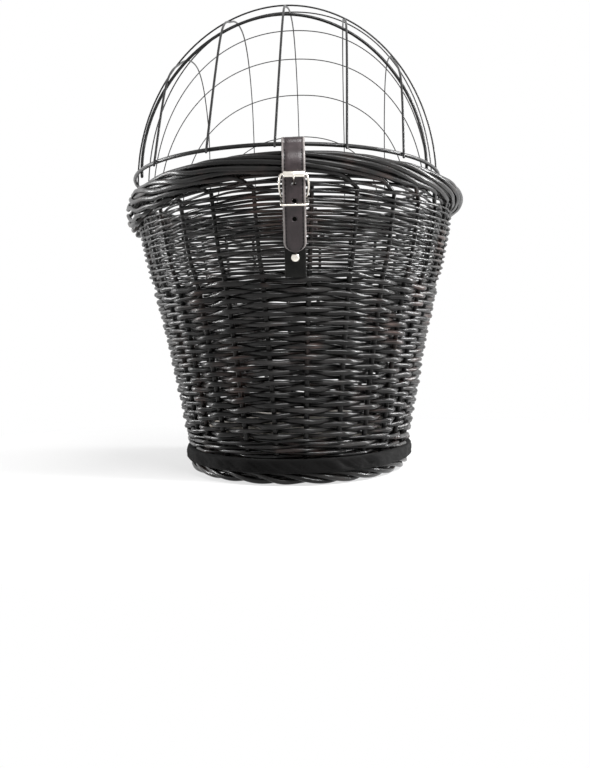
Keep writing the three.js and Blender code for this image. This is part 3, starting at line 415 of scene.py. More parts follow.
class Graph:
    """The nodes of a material or of the world, with a short call for each kind of node in use."""

    def __init__(self, block: bpy.types.Material | bpy.types.World) -> None:
        """Starts on the bare nodes of a new material or world."""
        self.block = block
        self.block.use_nodes = True
        self.tree = self.block.node_tree
        self.shader = self.tree.nodes.get("Principled BSDF")

    def node(self, kind: str, inputs: dict, **settings: object) -> bpy.types.Node:
        """Adds a node.

        Args:
            kind: The node's type, without its ShaderNode prefix.
            inputs: What goes into its sockets: values, or other nodes' outputs.
            settings: The node's own properties.

        Returns:
            The new node.
        """
        made = self.tree.nodes.new("ShaderNode" + kind)
        for key, value in settings.items():
            setattr(made, key, value)
        for key, value in inputs.items():
            self.feed(made.inputs[key], value)
        return made

    def feed(self, socket: bpy.types.NodeSocket, value: object) -> None:
        """Links an output to a socket, or sets the socket's own value."""
        if isinstance(value, bpy.types.NodeSocket):
            self.tree.links.new(value, socket)
        elif isinstance(value, tuple) and len(value) == 3 and socket.type == "RGBA":
            socket.default_value = (*value, 1.0)
        else:
            socket.default_value = value

    def set(self, **inputs: object) -> None:
        """Sets or feeds the shader's sockets, whose names have underscores for spaces."""
        for key, value in inputs.items():
            self.feed(self.shader.inputs[key.replace("_", " ")], value)

    def course(self, along: float, around: float) -> bpy.types.NodeSocket:
        """The piece's own course, stretched along it and round it."""
        place = self.node("UVMap", {}, uv_map=COURSE).outputs["UV"]
        return self.node("Mapping", {"Vector": place, "Scale": (along, around, 1.0)}).outputs["Vector"]

    def place(self, scale: tuple = (1.0, 1.0, 1.0)) -> bpy.types.NodeSocket:
        """The place on the piece, in metres, stretched."""
        point = self.node("TexCoord", {}).outputs["Object"]
        return self.node("Mapping", {"Vector": point, "Scale": scale}).outputs["Vector"]

    def shade(self) -> bpy.types.NodeSocket:
        """The shade that the piece's points carry."""
        return self.node("Attribute", {}, attribute_name=SHADE).outputs["Fac"]

    def noise(self, place: bpy.types.NodeSocket, scale: float, detail: float = 3.0) -> bpy.types.NodeSocket:
        """Cloudy noise from 0 to 1."""
        return self.node("TexNoise", {"Vector": place, "Scale": scale, "Detail": detail}).outputs["Fac"]

    def spread(self, value: bpy.types.NodeSocket, low: float, high: float, to_low: float = 0.0,
               to_high: float = 1.0) -> bpy.types.NodeSocket:
        """A value between two limits, brought to two others."""
        limits = {"Value": value, "From Min": low, "From Max": high, "To Min": to_low, "To Max": to_high}
        return self.node("MapRange", limits).outputs["Result"]

    def work(self, operation: str, first: object, second: object) -> bpy.types.NodeSocket:
        """One step of arithmetic on two values."""
        return self.node("Math", {0: first, 1: second}, operation=operation).outputs[0]

    def mix(self, share: object, first: object, second: object) -> bpy.types.NodeSocket:
        """A colour between two colours."""
        return self.node("Mix", {0: share, 6: first, 7: second}, data_type="RGBA").outputs[2]

    def seen(self) -> bpy.types.NodeSocket:
        """1 for camera, glossy and transmitted rays, and 0 for the rays that only carry light."""
        path = self.node("LightPath", {}).outputs
        direct = self.work("MAXIMUM", path["Is Camera Ray"], path["Is Glossy Ray"])
        return self.work("MAXIMUM", direct, path["Is Transmission Ray"])

    def bump(self, height: bpy.types.NodeSocket, depth: float, strength: float = 1.0) -> None:
        """Raises the surface by a height from 0 to 1, times a depth in millimetres and a strength."""
        inputs = {"Height": height, "Distance": depth * MM, "Strength": strength}
        self.feed(self.shader.inputs["Normal"], self.node("Bump", inputs).outputs["Normal"])


@dataclass(frozen=True)
class Willow:
    """Black-stained willow: streaks along rods of differing depth, and brown where the stain is thin."""

    black: Colour = (0.002, 0.002, 0.002)
    grey: Colour = (0.021, 0.020, 0.0195)
    brown: Colour = (0.060, 0.035, 0.029)
    streak: tuple[float, float] = (18.0, 420.0)
    streak_depth: tuple[float, float] = (0.55, 1.3)
    streak_band: tuple[float, float] = (0.4, 0.7)
    patch: float = 26.0
    patch_band: tuple[float, float] = (0.54, 0.74)
    gloss: float = 0.17
    roughness: tuple[float, float] = (0.2, 0.4)
    relief: tuple[float, float] = (0.25, 0.6)

    def material(self) -> bpy.types.Material:
        """Builds the finish."""
        graph = Graph(bpy.data.materials.new("stained_willow"))
        streaks = graph.noise(graph.course(*self.streak), 1.0, 4.0)
        patches = graph.noise(graph.place(), self.patch, 2.0)
        streaked = graph.spread(streaks, *MOTTLE_BAND, *self.streak_depth)
        stained = graph.mix(graph.work("MULTIPLY", graph.shade(), streaked), self.black, self.grey)
        patched = graph.spread(patches, *self.patch_band)
        thin = graph.work("MULTIPLY", patched, graph.spread(streaks, *self.streak_band))
        graph.set(Base_Color=graph.mix(thin, stained, self.brown), Specular_IOR_Level=self.gloss)
        graph.set(Roughness=graph.spread(streaks, *NOISE_BAND, *self.roughness))
        graph.bump(streaks, *self.relief)
        return graph.block


@dataclass(frozen=True)
class BlackWire:
    """Steel wire with a black lacquer that is slightly uneven."""

    colour: Colour = (0.006, 0.006, 0.006)
    worn: Colour = (0.018, 0.018, 0.018)
    run: tuple[float, float] = (60.0, 260.0)
    worn_band: tuple[float, float] = (0.5, 0.8)
    gloss: float = 0.2
    roughness: tuple[float, float] = (0.26, 0.42)
    relief: float = 0.06

    def material(self) -> bpy.types.Material:
        """Builds the finish."""
        graph = Graph(bpy.data.materials.new("lacquered_wire"))
        runs = graph.noise(graph.course(*self.run), 1.0)
        graph.set(Base_Color=graph.mix(graph.spread(runs, *self.worn_band), self.colour, self.worn))
        graph.set(Roughness=graph.spread(runs, *NOISE_BAND, *self.roughness), Specular_IOR_Level=self.gloss)
        graph.bump(runs, self.relief)
        return graph.block


@dataclass(frozen=True)
class Leather:
    """Strap leather: fine grain, a slight sheen, and a paler colour on its edges."""

    name: str
    colour: Colour
    lit: Colour
    edge: Colour
    gloss: float
    grain: float = 1100.0
    rub: float = 90.0
    rub_band: tuple[float, float] = (0.4, 0.75)
    rub_height: float = 0.8
    roughness: tuple[float, float] = (0.36, 0.52)
    relief: tuple[float, float] = (0.16, 0.7)

    def material(self) -> bpy.types.Material:
        """Builds the finish."""
        graph = Graph(bpy.data.materials.new(self.name))
        cells = graph.node("TexVoronoi", {"Vector": graph.place(), "Scale": self.grain}).outputs["Distance"]
        rubbed = graph.noise(graph.place(), self.rub)
        face = graph.mix(graph.spread(rubbed, *self.rub_band), self.colour, self.lit)
        graph.set(Base_Color=graph.mix(graph.shade(), face, self.edge), Specular_IOR_Level=self.gloss)
        graph.set(Roughness=graph.spread(rubbed, *NOISE_BAND, *self.roughness))
        height = graph.work("ADD", cells, graph.work("MULTIPLY", rubbed, self.rub_height))
        graph.bump(height, *self.relief)
        return graph.block


@dataclass(frozen=True)
class Thread:
    """Waxed sewing thread with its twist, whose raised crests are painted lighter as a painted highlight.
    """

    name: str
    colour: Colour
    # painted highlight: the lighter colour of the twist's raised crests
    crest_highlight: Colour
    twist: tuple[float, float] = (1500.0, 900.0)
    gloss: float = 0.1
    roughness: float = 0.6
    relief: float = 0.08

    def material(self) -> bpy.types.Material:
        """Builds the finish."""
        graph = Graph(bpy.data.materials.new(self.name))
        twist = graph.noise(graph.course(*self.twist), 1.0, 1.0)
        # the raised crests of the twist take the lighter colour: a painted highlight
        graph.set(Base_Color=graph.mix(twist, self.colour, self.crest_highlight))
        graph.set(Roughness=self.roughness, Specular_IOR_Level=self.gloss)
        graph.bump(twist, self.relief)
        return graph.block


@dataclass(frozen=True)
class Metal:
    """A metal with fine drawn scratches and cloudy patches."""

    name: str
    colour: Colour
    dull: Colour
    roughness: tuple[float, float]
    cloud: float = 160.0
    scratch: tuple[float, float, float] = (900.0, 9000.0, 2500.0)
    relief: tuple[float, float] = (0.02, 0.5)

    def material(self) -> bpy.types.Material:
        """Builds the finish."""
        graph = Graph(bpy.data.materials.new(self.name))
        clouds = graph.noise(graph.place(), self.cloud)
        scratches = graph.noise(graph.place(self.scratch), 1.0, 2.0)
        dulled = graph.mix(graph.spread(clouds, *MOTTLE_BAND), self.colour, self.dull)
        graph.set(Base_Color=dulled, Metallic=1.0)
        graph.set(Roughness=graph.spread(clouds, *NOISE_BAND, *self.roughness))
        graph.bump(scratches, *self.relief)
        return graph.block


@dataclass(frozen=True)
class Cloth:
    """A plain woven cloth: threads that cross in two directions on the piece's own course, with painted
    shade in the hollows between them.
    """

    name: str
    thread: Colour
    # colour of the weave's hollows: painted shade between the threads
    hollow: Colour
    pitch: float
    depth: float
    sheen: float
    strength: float = 0.8
    unevenness: float = 0.4
    lint: float = 60.0
    lint_band: tuple[float, float] = (0.2, 0.8)
    worn_height: float = 0.7
    gloss: float = 0.07
    roughness: tuple[float, float] = (0.78, 0.95)

    def material(self) -> bpy.types.Material:
        """Builds the finish."""
        graph = Graph(bpy.data.materials.new(self.name))
        course = graph.course(1.0, 1.0)
        scale = np.pi / 10 / (self.pitch * MM)
        waves = {"Vector": course, "Scale": scale, "Distortion": self.unevenness, "Detail": 1.0}
        warp = graph.node("TexWave", waves, bands_direction="X").outputs["Fac"]
        weft = graph.node("TexWave", waves, bands_direction="Y").outputs["Fac"]
        weave = graph.work("MAXIMUM", warp, weft)
        lint = graph.noise(graph.place(), self.lint)
        worn = graph.spread(lint, *self.lint_band, self.worn_height, 1.0)
        height = graph.work("MULTIPLY", weave, worn)
        # the colour darkens from the threads' tops into their hollows: painted shade
        graph.set(Base_Color=graph.mix(height, self.hollow, self.thread), Sheen_Weight=self.sheen)
        graph.set(Roughness=graph.spread(lint, *NOISE_BAND, *self.roughness), Specular_IOR_Level=self.gloss)
        graph.bump(height, self.depth, self.strength)
        return graph.block


@dataclass(frozen=True)
class Plywood:
    """Black-stained plywood board: long grain on its faces, thin veneers on its edge."""

    pale: Colour = (0.045, 0.036, 0.030)
    dark: Colour = (0.016, 0.013, 0.011)
    grain: tuple[float, float, float] = (190.0, 9.0, 620.0)
    figure: tuple[float, float, float] = (30.0, 4.0, 90.0)
    grain_share: float = 0.6
    figure_share: float = 0.5
    roughness: tuple[float, float] = (0.55, 0.75)
    relief: tuple[float, float] = (0.12, 0.6)

    def material(self) -> bpy.types.Material:
        """Builds the finish."""
        graph = Graph(bpy.data.materials.new("plywood_board"))
        grain = graph.noise(graph.place(self.grain), 1.0, 6.0)
        figure = graph.noise(graph.place(self.figure), 1.0)
        fine = graph.work("MULTIPLY", grain, self.grain_share)
        broad = graph.work("MULTIPLY", figure, self.figure_share)
        shade = graph.spread(graph.work("ADD", fine, broad), *MOTTLE_BAND)
        graph.set(Base_Color=graph.mix(shade, self.pale, self.dark))
        graph.set(Roughness=graph.spread(grain, *NOISE_BAND, *self.roughness))
        graph.bump(grain, *self.relief)
        return graph.block


@dataclass(frozen=True)
class Finish:
    """A material, and the slot that it stands for."""

    material: bpy.types.Material
    slot: Slot


class Finishes:
    """The finishes of all the pieces, each made once."""

    def __init__(self) -> None:
        """Builds each material and pairs it with its slot."""
        strap = Leather("strap_leather", colour=(0.013, 0.0083, 0.0092), lit=(0.026, 0.0175, 0.019),
                        edge=(0.15, 0.135, 0.13), gloss=0.36)
        anchor = Leather("anchor_leather", colour=(0.003, 0.003, 0.0028), lit=(0.006, 0.006, 0.0055),
                         edge=(0.02, 0.02, 0.019), gloss=0.1)
        # the thread's crest colour is a painted highlight on its twist
        thread = Thread("strap_thread", colour=(0.002, 0.002, 0.002), crest_highlight=(0.008, 0.008, 0.008))
        nickel = Metal("nickel", colour=(0.83, 0.79, 0.72), dull=(0.70, 0.66, 0.60), roughness=(0.16, 0.30))
        zinc = Metal("zinc", colour=(0.62, 0.63, 0.65), dull=(0.45, 0.46, 0.48), roughness=(0.34, 0.52),
                     cloud=420.0)
        # each cloth's hollow colour is painted shade between its threads
        band = Cloth("band_cloth", thread=(0.003, 0.0028, 0.0028), hollow=(0.001, 0.001, 0.001), pitch=0.7,
                     depth=0.12, sheen=0.02)
        cushion = Cloth("cushion_cloth", thread=(0.36, 0.33, 0.29), hollow=(0.20, 0.18, 0.155), pitch=1.1,
                        depth=0.3, sheen=0.2)
        self.willow = Finish(Willow().material(), Slot.WILLOW)
        self.wire = Finish(BlackWire().material(), Slot.WIRE)
        self.strap = Finish(strap.material(), Slot.LEATHER)
        self.anchor = Finish(anchor.material(), Slot.LEATHER)
        self.thread = Finish(thread.material(), Slot.LEATHER)
        self.nickel = Finish(nickel.material(), Slot.NICKEL)
        self.zinc = Finish(zinc.material(), Slot.ZINC)
        self.band = Finish(band.material(), Slot.BAND)
        self.cushion = Finish(cushion.material(), Slot.CUSHION)
        self.plywood = Finish(Plywood().material(), Slot.PLYWOOD)


def dress(piece: bpy.types.Object, finish: Finish, body: Body, *nodes: str) -> bpy.types.Object:
    """Gives a new piece its finish and its body, and hides the CAD nodes that it stands for.

    Args:
        piece: The new object.
        finish: Its material and slot.
        body: The CAD body that it rides on.
        nodes: CAD nodes that it stands for, which are hidden.

    Returns:
        The piece.
    """
    piece.data.materials.clear()
    piece.data.materials.append(finish.material)
    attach(piece, body.value)
    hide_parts(*nodes)
    LOG.info("%s: %d faces on %s", piece.name, len(piece.data.polygons), body.value)
    return piece


class Weave(Enum):
    """How a row passes the stakes: over one and behind one, or over two and behind one."""

    RANDING = 2
    WALING = 3

    def wave(self, step: Array) -> Array:
        """Depth of the row, from -1 behind a stake to about 1 before it.

        Randing is a cosine drawn towards a straight zigzag. Waling is (1 - 4 cos) / 3, held at its front.

        Args:
            step: Place along the row in stakes, counted from one that it passes behind.

        Returns:
            The depth at each place.
        """
        angle = TURN * step / self.value
        if self is Weave.RANDING:
            return -(np.cos(angle) + ZIGZAG * np.cos(3 * angle)) / (1 + ZIGZAG)
        return np.minimum((1 - 4 * np.cos(angle)) / 3, WALING_FRONT)


def rim_dip(angle: Array, depth: float = 10.5) -> Array:
    """How far the rim lies below its ends: depth times cos^2, so all of it at the sides."""
    return depth * np.cos(angle) ** 2


@dataclass(frozen=True)
class RowBand:
    """A band of like rows of the wall."""

    name: str
    weave: Weave
    count: int
    pitch: float
    radius: float
    reach: float  # how far a row stands before and behind the stakes' middle
    wobble: float  # how far a row strays up and down
    waves: int  # how often it does so round the wall, at most
    rod_stakes: int  # stakes that one rod passes


@dataclass
class WillowWall:
    """The woven wall: upright stakes and rows of rods that pass before and behind them."""

    base_half: tuple[float, float] = (115.0, 192.0)
    top_half: tuple[float, float] = (160.0, 260.0)
    bottom: float = 28.3
    top: float = 259.58
    woven: tuple[float, float] = (24.3, 271.5)
    hollow: float = 2.0  # how far the wall is drawn in halfway up
    bulge: float = 2.5  # how far its sides are fuller, high up
    stakes: int = 30
    stake_radius: tuple[float, float] = (2.4, 1.9)
    first_stake: float = 10.0  # along the oval from the near end's middle
    middle: tuple[float, float] = (-7.4, -4.4)  # depth of the stakes, in the coarse and the fine weave
    thinner: tuple[float, float] = (180.0, 205.0)  # heights between which the weave gets finer
    swell: float = 0.16  # share by which a rod swells where it passes before a stake
    looser: float = 0.2  # share by which the far wall's fine rods are thinner
    stray: float = 0.06  # how far a row strays in and out, in its reach
    stoutness: float = 0.07  # spread of the rods' radii
    taper: tuple[float, float] = (1.1, 0.9)
    lean_spread: float = 0.05
    strap_leans: tuple[float, float] = (0.15, -0.1)
    lean_height: float = 0.4  # share of the height at which a leaning stake is in its place
    steps: int = 14
    sides: int = 8
    spacing_steps: int = 6001
    seed: int = 11
    bands: tuple[RowBand, ...] = (
        RowBand("weave_foot", Weave.WALING, 6, 2.9, 1.5, 3.7, 0.2, 30, 15),
        RowBand("weave_lower", Weave.RANDING, 15, 4.7, 2.2, 4.7, 0.5, 30, 10),
        RowBand("weave_middle", Weave.RANDING, 18, 4.1, 2.06, 4.5, 0.45, 28, 10),
        RowBand("weave_upper", Weave.RANDING, 15, 2.9, 1.06, 3.0, 0.36, 14, 10),
        RowBand("weave_top", Weave.RANDING, 15, 2.8, 1.22, 3.0, 0.45, 18, 10),
    )
    lean: Array = field(init=False)

    def __post_init__(self) -> None:
        """Draws how far each stake leans sideways, in stakes. The two beside the strap lean apart."""
        rng = np.random.default_rng(self.seed)
        self.lean = rng.normal(0, self.lean_spread, self.stakes)
        self.lean[[0, -1]] = self.strap_leans

    def at(self, height: Array, pair: tuple[float, float]) -> Array:
        """A value that changes from one to another where the weave gets finer."""
        low, high = self.thinner
        return lerp(*pair, smooth((height - low) / (high - low)))

    def half_sizes(self, height: Array) -> tuple[Array, Array]:
        """Half width and half length at a height: a flare, drawn in halfway and full at the sides."""
        share = (height - self.bottom) / (self.top - self.bottom)
        inside = np.clip(share, 0, 1)
        drawn = self.hollow * np.sin(np.pi * inside)
        full = self.bulge * np.sin(np.pi * inside ** 3)
        halves = zip(self.base_half, self.top_half)
        half_width, half_length = (lerp(base, top, share) for base, top in halves)
        return half_width - drawn + full, half_length - drawn

    @cached_property
    def spacing(self) -> tuple[Array, Array]:
        """Angles round the oval at half height, and the arc length up to each, over three rounds."""
        angle = np.linspace(-TURN, 2 * TURN, self.spacing_steps)
        half_width, half_length = self.half_sizes((self.bottom + self.top) / 2)
        speed = np.hypot(half_width * np.sin(angle), half_length * np.cos(angle))
        length = np.cumsum(speed) * (angle[1] - angle[0])
        return angle, length - np.interp(-np.pi / 2, angle, length)

    def angle_at(self, stake: Array) -> Array:
        """The oval's angle at a place counted in stakes, which are evenly spaced by arc length."""
        angle, length = self.spacing
        round_length = np.interp(1.5 * np.pi, angle, length)
        return np.interp(self.first_stake + stake % self.stakes / self.stakes * round_length, length, angle)

    def point(self, stake: Array, height: Array, depth: Array) -> Array:
        """Points of the wall at a place in stakes, a height and a depth from its outer face."""
        places = np.arange(self.stakes + 1)
        sideways = np.interp(stake % self.stakes, places, np.append(self.lean, self.lean[0]))
        share = (height - self.bottom) / (self.top - self.bottom)
        angle = self.angle_at(stake + sideways * (share - self.lean_height))
        return oval_points(*self.half_sizes(height), angle, depth, height - share * rim_dip(angle))

    def row_heights(self) -> Array:
        """The rows' heights from the foot up into the border: the pitches, stretched together."""
        pitches = np.concatenate([np.full(band.count, band.pitch) for band in self.bands])
        low, high = self.woven
        return low + (high - low) / pitches.sum() * (np.cumsum(pitches) - pitches / 2)

    def rows(self, band: RowBand, first: int, rng: np.random.Generator) -> Shape:
        """Rows of one band, each a ring of tapering rods that meet behind a stake.

        Args:
            band: The band's sizes.
            first: Number of its first row, counted from the foot.
            rng: Source of the irregularities.

        Returns:
            The rows as one shape.
        """
        place = np.arange(self.stakes * self.steps)[None, :] / self.steps
        row = np.arange(first, first + band.count)[:, None]
        share = place[0] / self.stakes
        height = self.row_heights()[row] + band.wobble * closed_noise(rng, band.count, share, band.waves)
        wave = band.weave.wave(place + row)
        stray = self.stray * band.reach * closed_noise(rng, band.count, share, self.stakes)
        depth = self.at(height, self.middle) + band.reach * wave + stray
        join = -row + band.weave.value * rng.integers(0, band.rod_stakes, (band.count, 1))
        along = (place - join) / band.rod_stakes
        rods = self.stakes // band.rod_stakes
        rod_number = np.floor(along).astype(int) % rods
        taper = lerp(*self.taper, along % 1)
        stout = np.take_along_axis(rng.normal(1, self.stoutness, (band.count, rods)), rod_number, 1)
        shade = np.take_along_axis(rng.beta(*STAIN_SPREAD, (band.count, rods)), rod_number, 1)
        far = np.clip(np.sin(self.angle_at(place)), 0, 1) * self.at(height, (0.0, self.looser))
        radius = band.radius * taper * stout * (1 + self.swell * wave) * (1 - far)
        return Shape().add_ring(self.point(place, height, depth), radius, self.sides, UP, shade[..., None])

    def build(self, finishes: Finishes) -> None:
        """Builds and dresses the bands of rows."""
        rng = np.random.default_rng(self.seed + 1)
        first = 0
        for band in self.bands:
            piece = self.rows(band, first, rng).build(band.name)
            dress(piece, finishes.willow, Body.BASKET, "woven_wall")
            first += band.count


@dataclass
class RimBorder:
    """The rolled border: each stake bends out of the wall and winds once about the rim's middle line."""

    wall: WillowWall
    half: tuple[float, float] = (161.4, 263.0)
    height: float = 273.6
    roll: float = 7.6
    left_drop: float = 8.0  # how much lower the border lies on the left
    rod_radius: float = 2.35
    stoutness: float = 0.05  # spread of the rods' radii
    span: float = 9.5  # stakes that a rod passes while it winds once
    first_angle: float = np.radians(-105)
    wander: float = 0.1  # how far the winding strays, in radians
    wander_waves: int = 7
    slack: float = 0.35  # how far the roll's radius strays
    slack_waves: int = 9
    tuck: float = 3.2  # how far a rod's end is tucked in
    tuck_from: float = 0.93
    bend_share: float = 0.06
    stake_foot: float = 22.0
    bend_height: float = 256.0
    straight_rise: float = 160.0  # how far a stake would rise over the span if it didn't bend
    core_radius: float = 5.2
    core_shade: float = 0.1
    stake_steps: int = 26
    roll_steps: int = 100
    core_steps: int = 180
    core_sides: int = 10
    seed: int = 23

    def rods(self, rng: np.random.Generator) -> tuple[Array, Array]:
        """Courses and radii of the stakes.

        A stake runs up the wall. Past its bend it moves back along the rim by the span while it turns once
        about the border's middle, from under it, up the outside, over the top and down the inside.

        Args:
            rng: Source of the irregularities.

        Returns:
            Points as (stakes, n, 3) and radii as (stakes, n).
        """
        stake = np.arange(self.wall.stakes, dtype=float)[:, None]
        rise = np.linspace(self.stake_foot, self.bend_height, self.stake_steps)[None, :]
        upright = self.wall.point(stake + 0 * rise, rise + 0 * stake, self.wall.at(rise, self.wall.middle))
        share = np.linspace(0, 1, self.roll_steps)[None, 1:]
        wander = closed_noise(rng, self.wall.stakes, share[0], self.wander_waves)
        angle = self.first_angle + TURN * share + self.wander * wander
        slack = closed_noise(rng, self.wall.stakes, share[0], self.slack_waves)
        place = stake - self.span * share
        around = self.wall.angle_at(place)
        ends = self.tuck * smooth((share - self.tuck_from) / (1 - self.tuck_from))
        radius = self.roll + self.slack * (np.clip(slack, -2, 1) - 1) - ends
        drop = self.left_drop * np.cos(around) ** 2 * (1 - np.cos(around)) / 2
        offset, lift = radius * np.cos(angle), (radius + drop) * np.sin(angle)
        middle = self.height - drop - rim_dip(around)
        rolled = oval_points(*self.half, around, offset, middle + lift)
        unbent = self.bend_height + self.straight_rise * share + 0 * stake
        straight = self.wall.point(place, unbent, self.wall.middle[1])
        course = lerp(straight, rolled, smooth(share / self.bend_share)[..., None])
        stout = self.rod_radius * rng.normal(1, self.stoutness, (self.wall.stakes, 1))
        widths = lerp(self.wall.stake_radius[1], stout, smooth(share / self.bend_share))
        uprights = self.wall.at(rise, self.wall.stake_radius) + 0 * stake
        return np.concatenate([upright, course], 1), np.concatenate([uprights, widths], 1)

    def core(self) -> Array:
        """The course of the rods hidden in the middle of the border."""
        angle = np.arange(self.core_steps) * TURN / self.core_steps
        return oval_points(*self.half, angle, 0.0, self.height - rim_dip(angle))

    def build(self, finishes: Finishes) -> None:
        """Builds and dresses the stakes with their border."""
        rng = np.random.default_rng(self.seed)
        course, radii = self.rods(rng)
        shade = rng.beta(*STAIN_SPREAD, (self.wall.stakes, 1, 1))
        outward = course / np.array([*self.half, np.inf]) ** 2
        shape = Shape().add(domed_rod(course, radii, self.wall.sides, outward), shade=shade)
        shape.add_ring(self.core(), self.core_radius, self.core_sides, UP, self.core_shade)
        piece = shape.build("stakes_and_border")
        dress(piece, finishes.willow, Body.BASKET, "rim_border", "woven_wall")


@dataclass
class FootBorder:
    """The foot: three rods twisted into an open rope round the base."""

    half: tuple[float, float] = (112.0, 192.0)
    offset: float = -6.6
    height: float = 7.0
    twist: float = 3.3
    rod_radius: float = 2.5
    turns: int = 8
    strands: int = 3
    wander: float = 0.15  # how far the twist strays, in radians
    wander_waves: int = 12
    steps: int = 300
    sides: int = 8
    seed: int = 31

    def build(self, finishes: Finishes) -> None:
        """Builds and dresses the foot: each rod circles the foot's middle as it goes round the base."""
        rng = np.random.default_rng(self.seed)
        share = np.arange(self.steps) / self.steps
        start = np.arange(self.strands)[:, None] / self.strands
        wander = self.wander * closed_noise(rng, self.strands, share, self.wander_waves)
        angle = TURN * (start - self.turns * share) + wander
        offset = self.offset + self.twist * np.cos(angle)
        height = self.height + self.twist * np.sin(angle)
        path = oval_points(*self.half, TURN * share + 0 * angle, offset, height)
        shade = rng.beta(*STAIN_SPREAD, (self.strands, 1, 1))
        shape = Shape().add_ring(path, self.rod_radius, self.sides, UP, shade)
        dress(shape.build("foot_rope"), finishes.willow, Body.BASKET, "foot_border")


@dataclass
class BaseBand:
    """The cloth band round the base: a strip drawn tight over the base's edge, with soft creases."""

    half: tuple[float, float] = (113.0, 192.0)
    thickness: float = 0.9
    steps: int = 360
    crease: float = 1.3
    middle: float = 17.5
    creased_height: float = 14.0
    long_share: float = 0.4  # share of the crease in the long swells
    long_waves: int = 40
    fold_share: float = 0.7  # share of the crease in the slanting folds
    fold_waves: int = 90
    seed: int = 41
    profile: tuple[tuple[float, float], ...] = (
        (-4.6, 11.8), (-1.6, 11.4), (0.6, 11.6), (1.9, 12.6), (2.4, 14.4), (2.6, 17.0),
        (2.5, 20.0), (2.1, 22.2), (0.8, 23.7), (-1.6, 24.0), (-4.6, 23.7),
    )

    def skins(self) -> Array:
        """The strip's section as offset and height: its outer line, then its inner line, back again."""
        outer = smooth_course(np.array(self.profile), 2)
        along = unit(np.gradient(outer, axis=0))
        inner = outer + self.thickness * np.stack([-along[:, 1], along[:, 0]], -1)
        return np.concatenate([outer, inner[::-1]])

    def build(self, finishes: Finishes) -> None:
        rng = np.random.default_rng(self.seed)
        section = self.skins()
        share = np.arange(self.steps) / self.steps
        angle = TURN * share[:, None]
        slant = (section[None, :, 1] - self.middle) / self.creased_height
        swells = closed_noise(rng, 1, share, self.long_waves)[0][:, None]
        turn = (np.arange(self.steps)[:, None] + (slant * self.creased_height).astype(int)) % self.steps
        folds = closed_noise(rng, 1, share, self.fold_waves)[0][turn]
        free = np.cos(np.pi * np.clip(slant, -0.5, 0.5))
        creases = self.crease * free * (self.long_share * swells - self.fold_share * np.abs(folds))
        offset = section[None, :, 0] + creases
        grid = oval_points(*self.half, angle, offset, section[None, :, 1] + 0 * angle)
        piece = Shape().add(grid, closed=True).build("cloth_band")
        dress(piece, finishes.band, Body.BASKET, "base_band")


@dataclass
class FloorCushion:
    """The loose cushion: a crowned oval pad that pressure fills, with piping round its seam."""

    half: tuple[float, float] = (91.0, 166.0)
    bottom: float = 26.0
    seam: float = 40.0
    top: float = 58.0
    lowest: float = 25.9
    highest: float = 63.4
    rows: int = 44
    columns: int = 112
    piping: float = 2.6
    piping_out: tuple[float, float, float] = (1.008, 1.004, 1.0)
    piping_steps: int = 220
    piping_sides: int = 10
    under_power: float = 7.8
    over_power: float = 2.6
    pole: float = 0.004  # share of the radius at which the pad closes
    frames: int = 20
    pressure: float = 4.0
    stiffness: float = 0.3
    most_swell: float = 5.0

    def pad(self) -> Array:
        """The pad before it is filled: sqrt(1 - s^power) of its depth, at a share s of its radius."""
        under = np.linspace(self.pole, 1, self.rows // 2)
        over = np.linspace(1, self.pole, self.rows // 2)[1:]
        low = lerp(self.seam, self.bottom, np.sqrt(1 - under ** self.under_power))
        high = lerp(self.seam, self.top, np.sqrt(1 - over ** self.over_power))
        share = np.concatenate([under, over])
        height = np.concatenate([low, high])
        angle = np.arange(self.columns) * TURN / self.columns
        x = share[:, None] * self.half[0] * np.cos(angle)
        y = share[:, None] * self.half[1] * np.sin(angle)
        return np.stack(np.broadcast_arrays(x, y, height[:, None]), -1)

    def fill(self, piece: bpy.types.Object, seam: Array) -> None:
        """Fills the pad by cloth under pressure, held at its seam, and caps how far a point may move.

        Args:
            piece: The pad.
            seam: Indices of the seam's points.
        """
        start = np.empty(len(piece.data.vertices) * 3, np.float32)
        piece.data.vertices.foreach_get("co", start)
        group = piece.vertex_groups.new(name="seam")
        group.add(seam.tolist(), 1.0, "REPLACE")
        cloth = piece.modifiers.new("filling", "CLOTH")
        cloth.settings.use_pressure = True
        cloth.settings.uniform_pressure_force = self.pressure
        cloth.settings.effector_weights.gravity = 0
        cloth.settings.vertex_group_mass = "seam"
        cloth.settings.bending_stiffness = self.stiffness
        scene = bpy.context.scene
        for number in range(1, self.frames + 1):
            scene.frame_set(number)
        evaluated = piece.evaluated_get(bpy.context.evaluated_depsgraph_get())
        filled = np.empty_like(start)
        evaluated.data.vertices.foreach_get("co", filled)
        piece.modifiers.clear()
        scene.frame_set(1)
        moved = (filled - start).reshape(-1, 3)
        length = np.linalg.norm(moved, axis=-1, keepdims=True)
        limit = self.most_swell * MM
        points = start.reshape(-1, 3) + moved * limit * np.tanh(length / limit) / np.maximum(length, 1e-9)
        points[:, 2] = np.clip(points[:, 2], self.lowest * MM, self.highest * MM)
        piece.data.vertices.foreach_set("co", points.astype(np.float32).ravel())
        piece.data.update()

    def build(self, finishes: Finishes) -> None:
        """Builds the pad and its piping."""
        grid = self.pad()
        seam_row = self.rows // 2 - 1
        pad = Shape().add(grid).build("cushion_pad")
        seam = np.arange(self.columns) + seam_row * self.columns
        self.fill(pad, seam)
        finer = pad.modifiers.new("finer", "SUBSURF")
        finer.levels = finer.render_levels = 1
        dress(pad, finishes.cushion, Body.BASKET, "floor_cushion")
        outline = evenly(grid[seam_row] * self.piping_out, self.piping_steps, closed=True)
        piping = Shape().add_ring(outline, self.piping, self.piping_sides, UP).build("cushion_piping")
        dress(piping, finishes.cushion, Body.BASKET, "floor_cushion")


@dataclass(frozen=True)
class Hoop:
    """One hoop of the lid: its foot and top in the ring's half length, its rise in the lid's."""

    node: str
    foot: float
    top: float
    rise: float
    fullness: float
    radius: float


